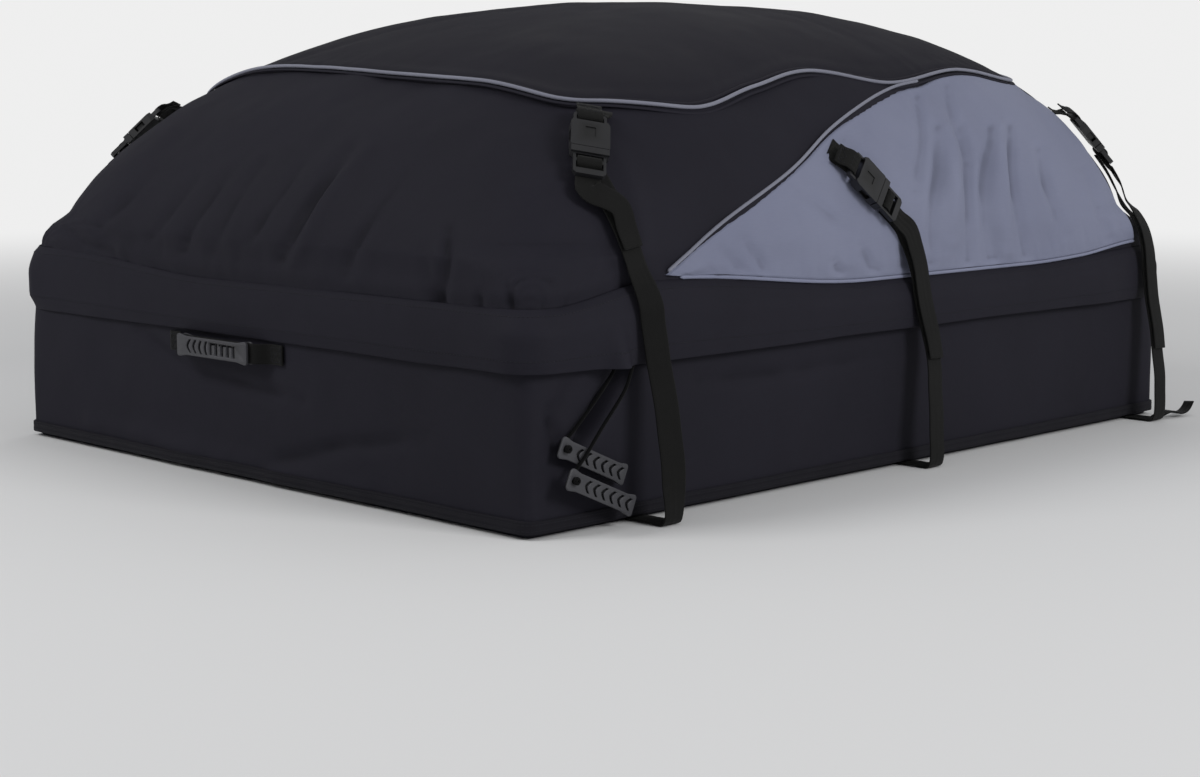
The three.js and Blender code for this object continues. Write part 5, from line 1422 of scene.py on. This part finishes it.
def build_handle():
    middle_y, height = HANDLE_MIDDLE
    profile = [(-y, out) for y, out in reversed(HANDLE_PROFILE)] + list(HANDLE_PROFILE)
    stations = [(front_wall(middle_y + y, height, out), (0, 0, 1)) for y, out in profile]
    obj, middle, across, face = ribbon("handle_strap", stations, 21, step=2.5)
    finish_piece(obj, "bag", "webbing", "front_handle_webbing")
    face = face * (1 if face[2][0] > 0 else -1)
    last = len(middle) - 1
    for i, spans in enumerate(((1, 7), (last - 7, last - 1))):
        cross_stitches("handle_tack_" + str(i), middle, across * 0.82, face, spans)


def slotted_bar(name, outline, slots, thickness, round_over):
    """A flat moulding: an outline with slots through it, its edges rounded over."""
    curve = bpy.data.curves.new(name, "CURVE")
    curve.dimensions = "2D"
    curve.fill_mode = "BOTH"
    curve.extrude = (thickness / 2 - round_over) * MM
    curve.bevel_depth = round_over * MM
    curve.bevel_resolution = 2
    curve.offset = -round_over * MM
    for line in [outline] + slots:
        spline = curve.splines.new("POLY")
        spline.points.add(len(line) - 1)
        for point, (x, y) in zip(spline.points, line):
            point.co = (x * MM, y * MM, 0, 1)
        spline.use_cyclic_u = True
    holder = add_object(name + "_curve", curve)
    graph = bpy.context.evaluated_depsgraph_get()
    mesh = bpy.data.meshes.new_from_object(holder.evaluated_get(graph))
    mesh.name = name
    bpy.data.objects.remove(holder)
    work = bmesh.new()
    work.from_mesh(mesh)
    bmesh.ops.remove_doubles(work, verts=work.verts, dist=1e-6)
    bmesh.ops.recalc_face_normals(work, faces=work.faces)
    work.to_mesh(mesh)
    work.free()
    shade(mesh)
    return add_object(name, mesh)


GRIP_CORNER, WAIST_SHARE = 3.2, 0.84


def grip_outline(length, width):
    """A bar that swells at both ends, with rounded corners."""
    end, half, waist, radius = length / 2, width / 2, width / 2 * WAIST_SHARE, GRIP_CORNER
    upper = []
    for x in np.linspace(-end + radius, end - radius, 31):
        upper.append((x, waist + (half - waist) * float(smooth(abs(x), end * 0.7, end * 0.94))))
    corner = []
    for t in np.radians([25, 50, 75, 90]):
        corner.append((end - radius + radius * math.sin(t), half - radius + radius * math.cos(t)))
    right = corner + [(x, -y) for x, y in reversed(corner)]
    left = [(-x, -y) for x, y in right]
    return upper + right + [(x, -y) for x, y in reversed(upper)] + left


def chevron(x, half, arm, lean):
    """A slot like an arrow head that points to -x. lean 0 is a straight slot."""
    bow = [
        (x - lean, 0), (x - lean * 0.45, half * 0.45), (x + lean, half),
        (x + lean + arm, half), (x + arm - lean * 0.45, half * 0.45), (x + arm - lean, 0),
    ]
    low = [(px, -py) for px, py in reversed(bow[:3])][:-1]
    high = [(px, -py) for px, py in reversed(bow[3:])][1:]
    return bow + high + low


def place_grip(name, length, width, slots, thickness, round_over, lift, place, body, look, *nodes):
    """A layer of a grip: made flat, lifted in millimetres, then put in place."""
    obj = slotted_bar(name, grip_outline(length, width), slots, thickness, round_over)
    obj.data.transform(place @ Matrix.Translation((0, 0, lift * MM)))
    finish_piece(obj, body, look, *nodes)


# Each zip leader: its grip's eye from the front, the eye's height, how far out the grip hangs, and the cord's
# route from its slider down to the eye, by places from the front, heights and distances out
LEADERS = {
    "front": (38, 82, 8.2, [(115.5, 172.1, 6.4), (110, 155, 6), (92, 130, 3.6), (60, 100, 2.9)]),
    "side": (38, 54, 19.0, [
        (133.7, 172.1, 6.4), (131, 154, 6.4), (124, 143, 9), (112, 130, 14), (80, 96, 14.2), (58, 72, 14.2),
    ]),
}
EYE_REACH, EYE_RADIUS, GRIP_LEAN = 39, 3.2, -24


def turned(axis, degrees):
    return Matrix.Rotation(math.radians(degrees), 4, axis)


def build_handle_grip():
    at = Matrix.Translation(Vector((HALF_LENGTH + HANDLE_STAND, *HANDLE_MIDDLE)) * MM)
    at = at @ turned("X", 90) @ turned("Y", 90)
    slots = [chevron(-42 + i * 10.2, 7.0, 3.6, 2.6 - 0.5 * i if i <= 3 else 0.0) for i in range(9)]
    node = "front_handle_grip"
    place_grip("handle_grip_shell", 124, 24, slots, 3.2, 0.8, 4.2, at, "bag", "grip_rubber", node)
    place_grip("handle_grip_core", 120, 22.5, [], 6.6, 1.6, 0, at, "bag", "black_plastic")
    place_grip("handle_grip_back", 123, 23.4, [], 2.6, 0.8, -3, at, "bag", "grip_rubber")


def build_zip_grips():
    eye_turns = np.linspace(0, 2 * np.pi, 20)[:-1]
    hole = [(EYE_RADIUS * math.cos(t) - EYE_REACH, EYE_RADIUS * math.sin(t)) for t in eye_turns]
    slots = [chevron(-22 + i * 11.5, 5.8, 3.8, 2.6) for i in range(6)]
    for name, (eye, height, out, _) in LEADERS.items():
        body = name + "_grip"
        at = Matrix.Translation(Vector((HALF_LENGTH - eye, HALF_WIDTH + out, height)) * MM)
        at = at @ turned("Y", GRIP_LEAN) @ Matrix.Translation((-EYE_REACH * MM, 0, 0))
        at = at @ turned("X", -90) @ turned("Z", 180)
        shell_name, node = "pull_shell_" + name, "zip_grip_" + name
        place_grip(shell_name, 92, 21, [hole] + slots, 2.4, 0.6, 1.8, at, body, "grip_rubber", node)
        place_grip("pull_core_" + name, 88.5, 19.4, [hole], 3.0, 0.8, -0.8, at, body, "black_plastic")


build_handle()
build_handle_grip()
build_zip_grips()

# Zip leaders: the cord, and its knot on the grip


CORD_RADIUS, KNOT_TURNS, KNOT_LOOP, KNOT_CORD = 1.75, 1.9, 2.3, 1.55
# The cord's run behind the grip and its knot in front of it, from the grip's middle plane
BEHIND_GRIP, BEFORE_GRIP = 5.1, 5.9


def build_leaders():
    for name, (eye, height, out, route) in LEADERS.items():
        x = HALF_LENGTH - eye
        back = HALF_WIDTH + out - BEHIND_GRIP
        knot = HALF_WIDTH + out + BEFORE_GRIP
        points = [(HALF_LENGTH - s, HALF_WIDTH + o, z) for s, z, o in route]
        points += [(x - 5, back, height + 4), (x, back + 1.8, height), (x, knot - 1.4, height)]
        line = spaced(centripetal(points, False, 14), 90)
        body = body_like("zip_leader_" + name)
        cord = tube("leader_cord_" + name, line, CORD_RADIUS, 12)
        finish_piece(cord, body, "cord_black", "zip_leader_" + name, slot="webbing")
        turns = []
        for t in np.linspace(0, 2 * np.pi * KNOT_TURNS, 60):
            r = KNOT_LOOP + 0.25 * math.cos(3.1 * t)
            turns.append((x + r * math.cos(t), knot + 0.8 * math.sin(1.55 * t), height + r * math.sin(t)))
        ball = tube("leader_knot_" + name, turns, KNOT_CORD, 10)
        finish_piece(ball, body, "cord_black", slot="webbing")


build_leaders()


# The loose end's line: how far on, how far round and how high, in millimetres
STRAP_END_LINE = (
    (0, 0, WEB_ON_GROUND), (-10, 3, 6), (-22, 6.5, 8.4), (-36, 9, 4.6),
    (-48, 10, 5.4), (-57, 10, 9.6), (-64, 10, 16.5),
)


def build_strap_end():
    """The short end that curls out at the rear left strap's foot."""
    foot, across = Strap(**STRAPS["rear"]).on_bag(1e4, 26)
    rearward = unit(across * [1, 1, 0])
    rearward = rearward * -np.sign(rearward[0])
    start = foot + rearward * (12.5 + CLEAR)
    square = np.array([rearward[1], -rearward[0], 0])
    stations = []
    for i, (x, y, z) in enumerate(STRAP_END_LINE):
        share = i / len(STRAP_END_LINE)
        across = square * (1 - share) + np.array([0.25, 1, 0]) * share
        stations.append(((start[0] + x, start[1] + y, z), across))
    obj, *_ = ribbon("loose_strap_end", stations, 15)
    finish_piece(obj, "bag", "webbing", "rear_left_strap_end")


build_strap_end()

# Moulded nodes that stay as they are, with their edges rounded

EDGE_WIDTH, EDGE_ANGLE = 0.0007, math.radians(35)

for node_name, obj in frame["nodes"].items():
    if obj.hide_render:
        continue
    obj.data.materials.clear()
    obj.data.materials.append(looks["black_plastic"])
    bevel = obj.modifiers.new("rounded_edges", "BEVEL")
    bevel.width = EDGE_WIDTH
    bevel.segments = 2
    bevel.limit_method = "ANGLE"
    bevel.angle_limit = EDGE_ANGLE

# Floor, backdrop and light

FLOOR_SIZE, FLOOR_DROP, FADE_FROM, FADE_TO = 30, 0.0004, 1.1, 4.2
PALE, FLOOR_GREY = (0.86, 0.86, 0.86, 1), (0.74, 0.74, 0.74, 1)
SKY, SKY_STRENGTH = (0.97, 0.98, 1.0, 1), 0.42
# Each lamp's place and size in metres, and its power in watts
LAMPS = {
    "key": ((2.6, -0.9, 2.2), 1.2, 38),
    "fill": ((-0.2, 3.7, 1.9), 1.3, 62),
    "back": ((-2.2, -1.2, 3.0), 1.8, 7),
}
LAMPS_AIM = Vector((0, 0, 0.25))


def build_floor():
    """A grey floor that fades into the pale backdrop away from the bag."""
    mesh = bpy.data.meshes.new("floor")
    corners = [(x * FLOOR_SIZE, y * FLOOR_SIZE, 0) for x, y in ((-1, -1), (1, -1), (1, 1), (-1, 1))]
    mesh.from_pydata(corners, [], [(0, 1, 2, 3)])
    floor = add_object("floor", mesh)
    floor.location.z = -FLOOR_DROP
    mesh.materials.append(bpy.data.materials.new("floor"))
    look = Nodes(mesh.materials[0], cleared=True)
    place = look.node("ShaderNodeTexCoord")["Object"]
    reach = look.node("ShaderNodeVectorMath", {0: place}, operation="LENGTH")["Value"]
    fade = {0: reach, 1: FADE_FROM, 2: FADE_TO, 3: 0.0, 4: 1.0}
    share = look.node("ShaderNodeMapRange", fade, interpolation_type="SMOOTHSTEP")[0]
    matt = look.node("ShaderNodeBsdfDiffuse", {"Color": FLOOR_GREY})
    glow = look.node("ShaderNodeEmission", {"Color": PALE})
    look.close("ShaderNodeOutputMaterial", share, matt, glow)


def build_world():
    """A soft sky for light, seen by the camera as a plain pale backdrop."""
    world = bpy.data.worlds.new("studio")
    bpy.context.scene.world = world
    look = Nodes(world, cleared=True)
    soft = look.node("ShaderNodeBackground", {"Color": SKY, "Strength": SKY_STRENGTH})
    seen = look.node("ShaderNodeBackground", {"Color": PALE})
    look.close("ShaderNodeOutputWorld", look.node("ShaderNodeLightPath")["Is Camera Ray"], soft, seen)


def build_lamps():
    for name, (place, size, power) in LAMPS.items():
        data = bpy.data.lights.new(name, "AREA")
        data.shape = "SQUARE"
        data.size = size
        data.energy = power
        turn = (LAMPS_AIM - Vector(place)).to_track_quat("-Z", "Y").to_matrix().to_4x4()
        add_object(name, data).matrix_world = Matrix.Translation(place) @ turn


build_floor()
build_world()
build_lamps()
bpy.context.scene.view_settings.view_transform = "Standard"
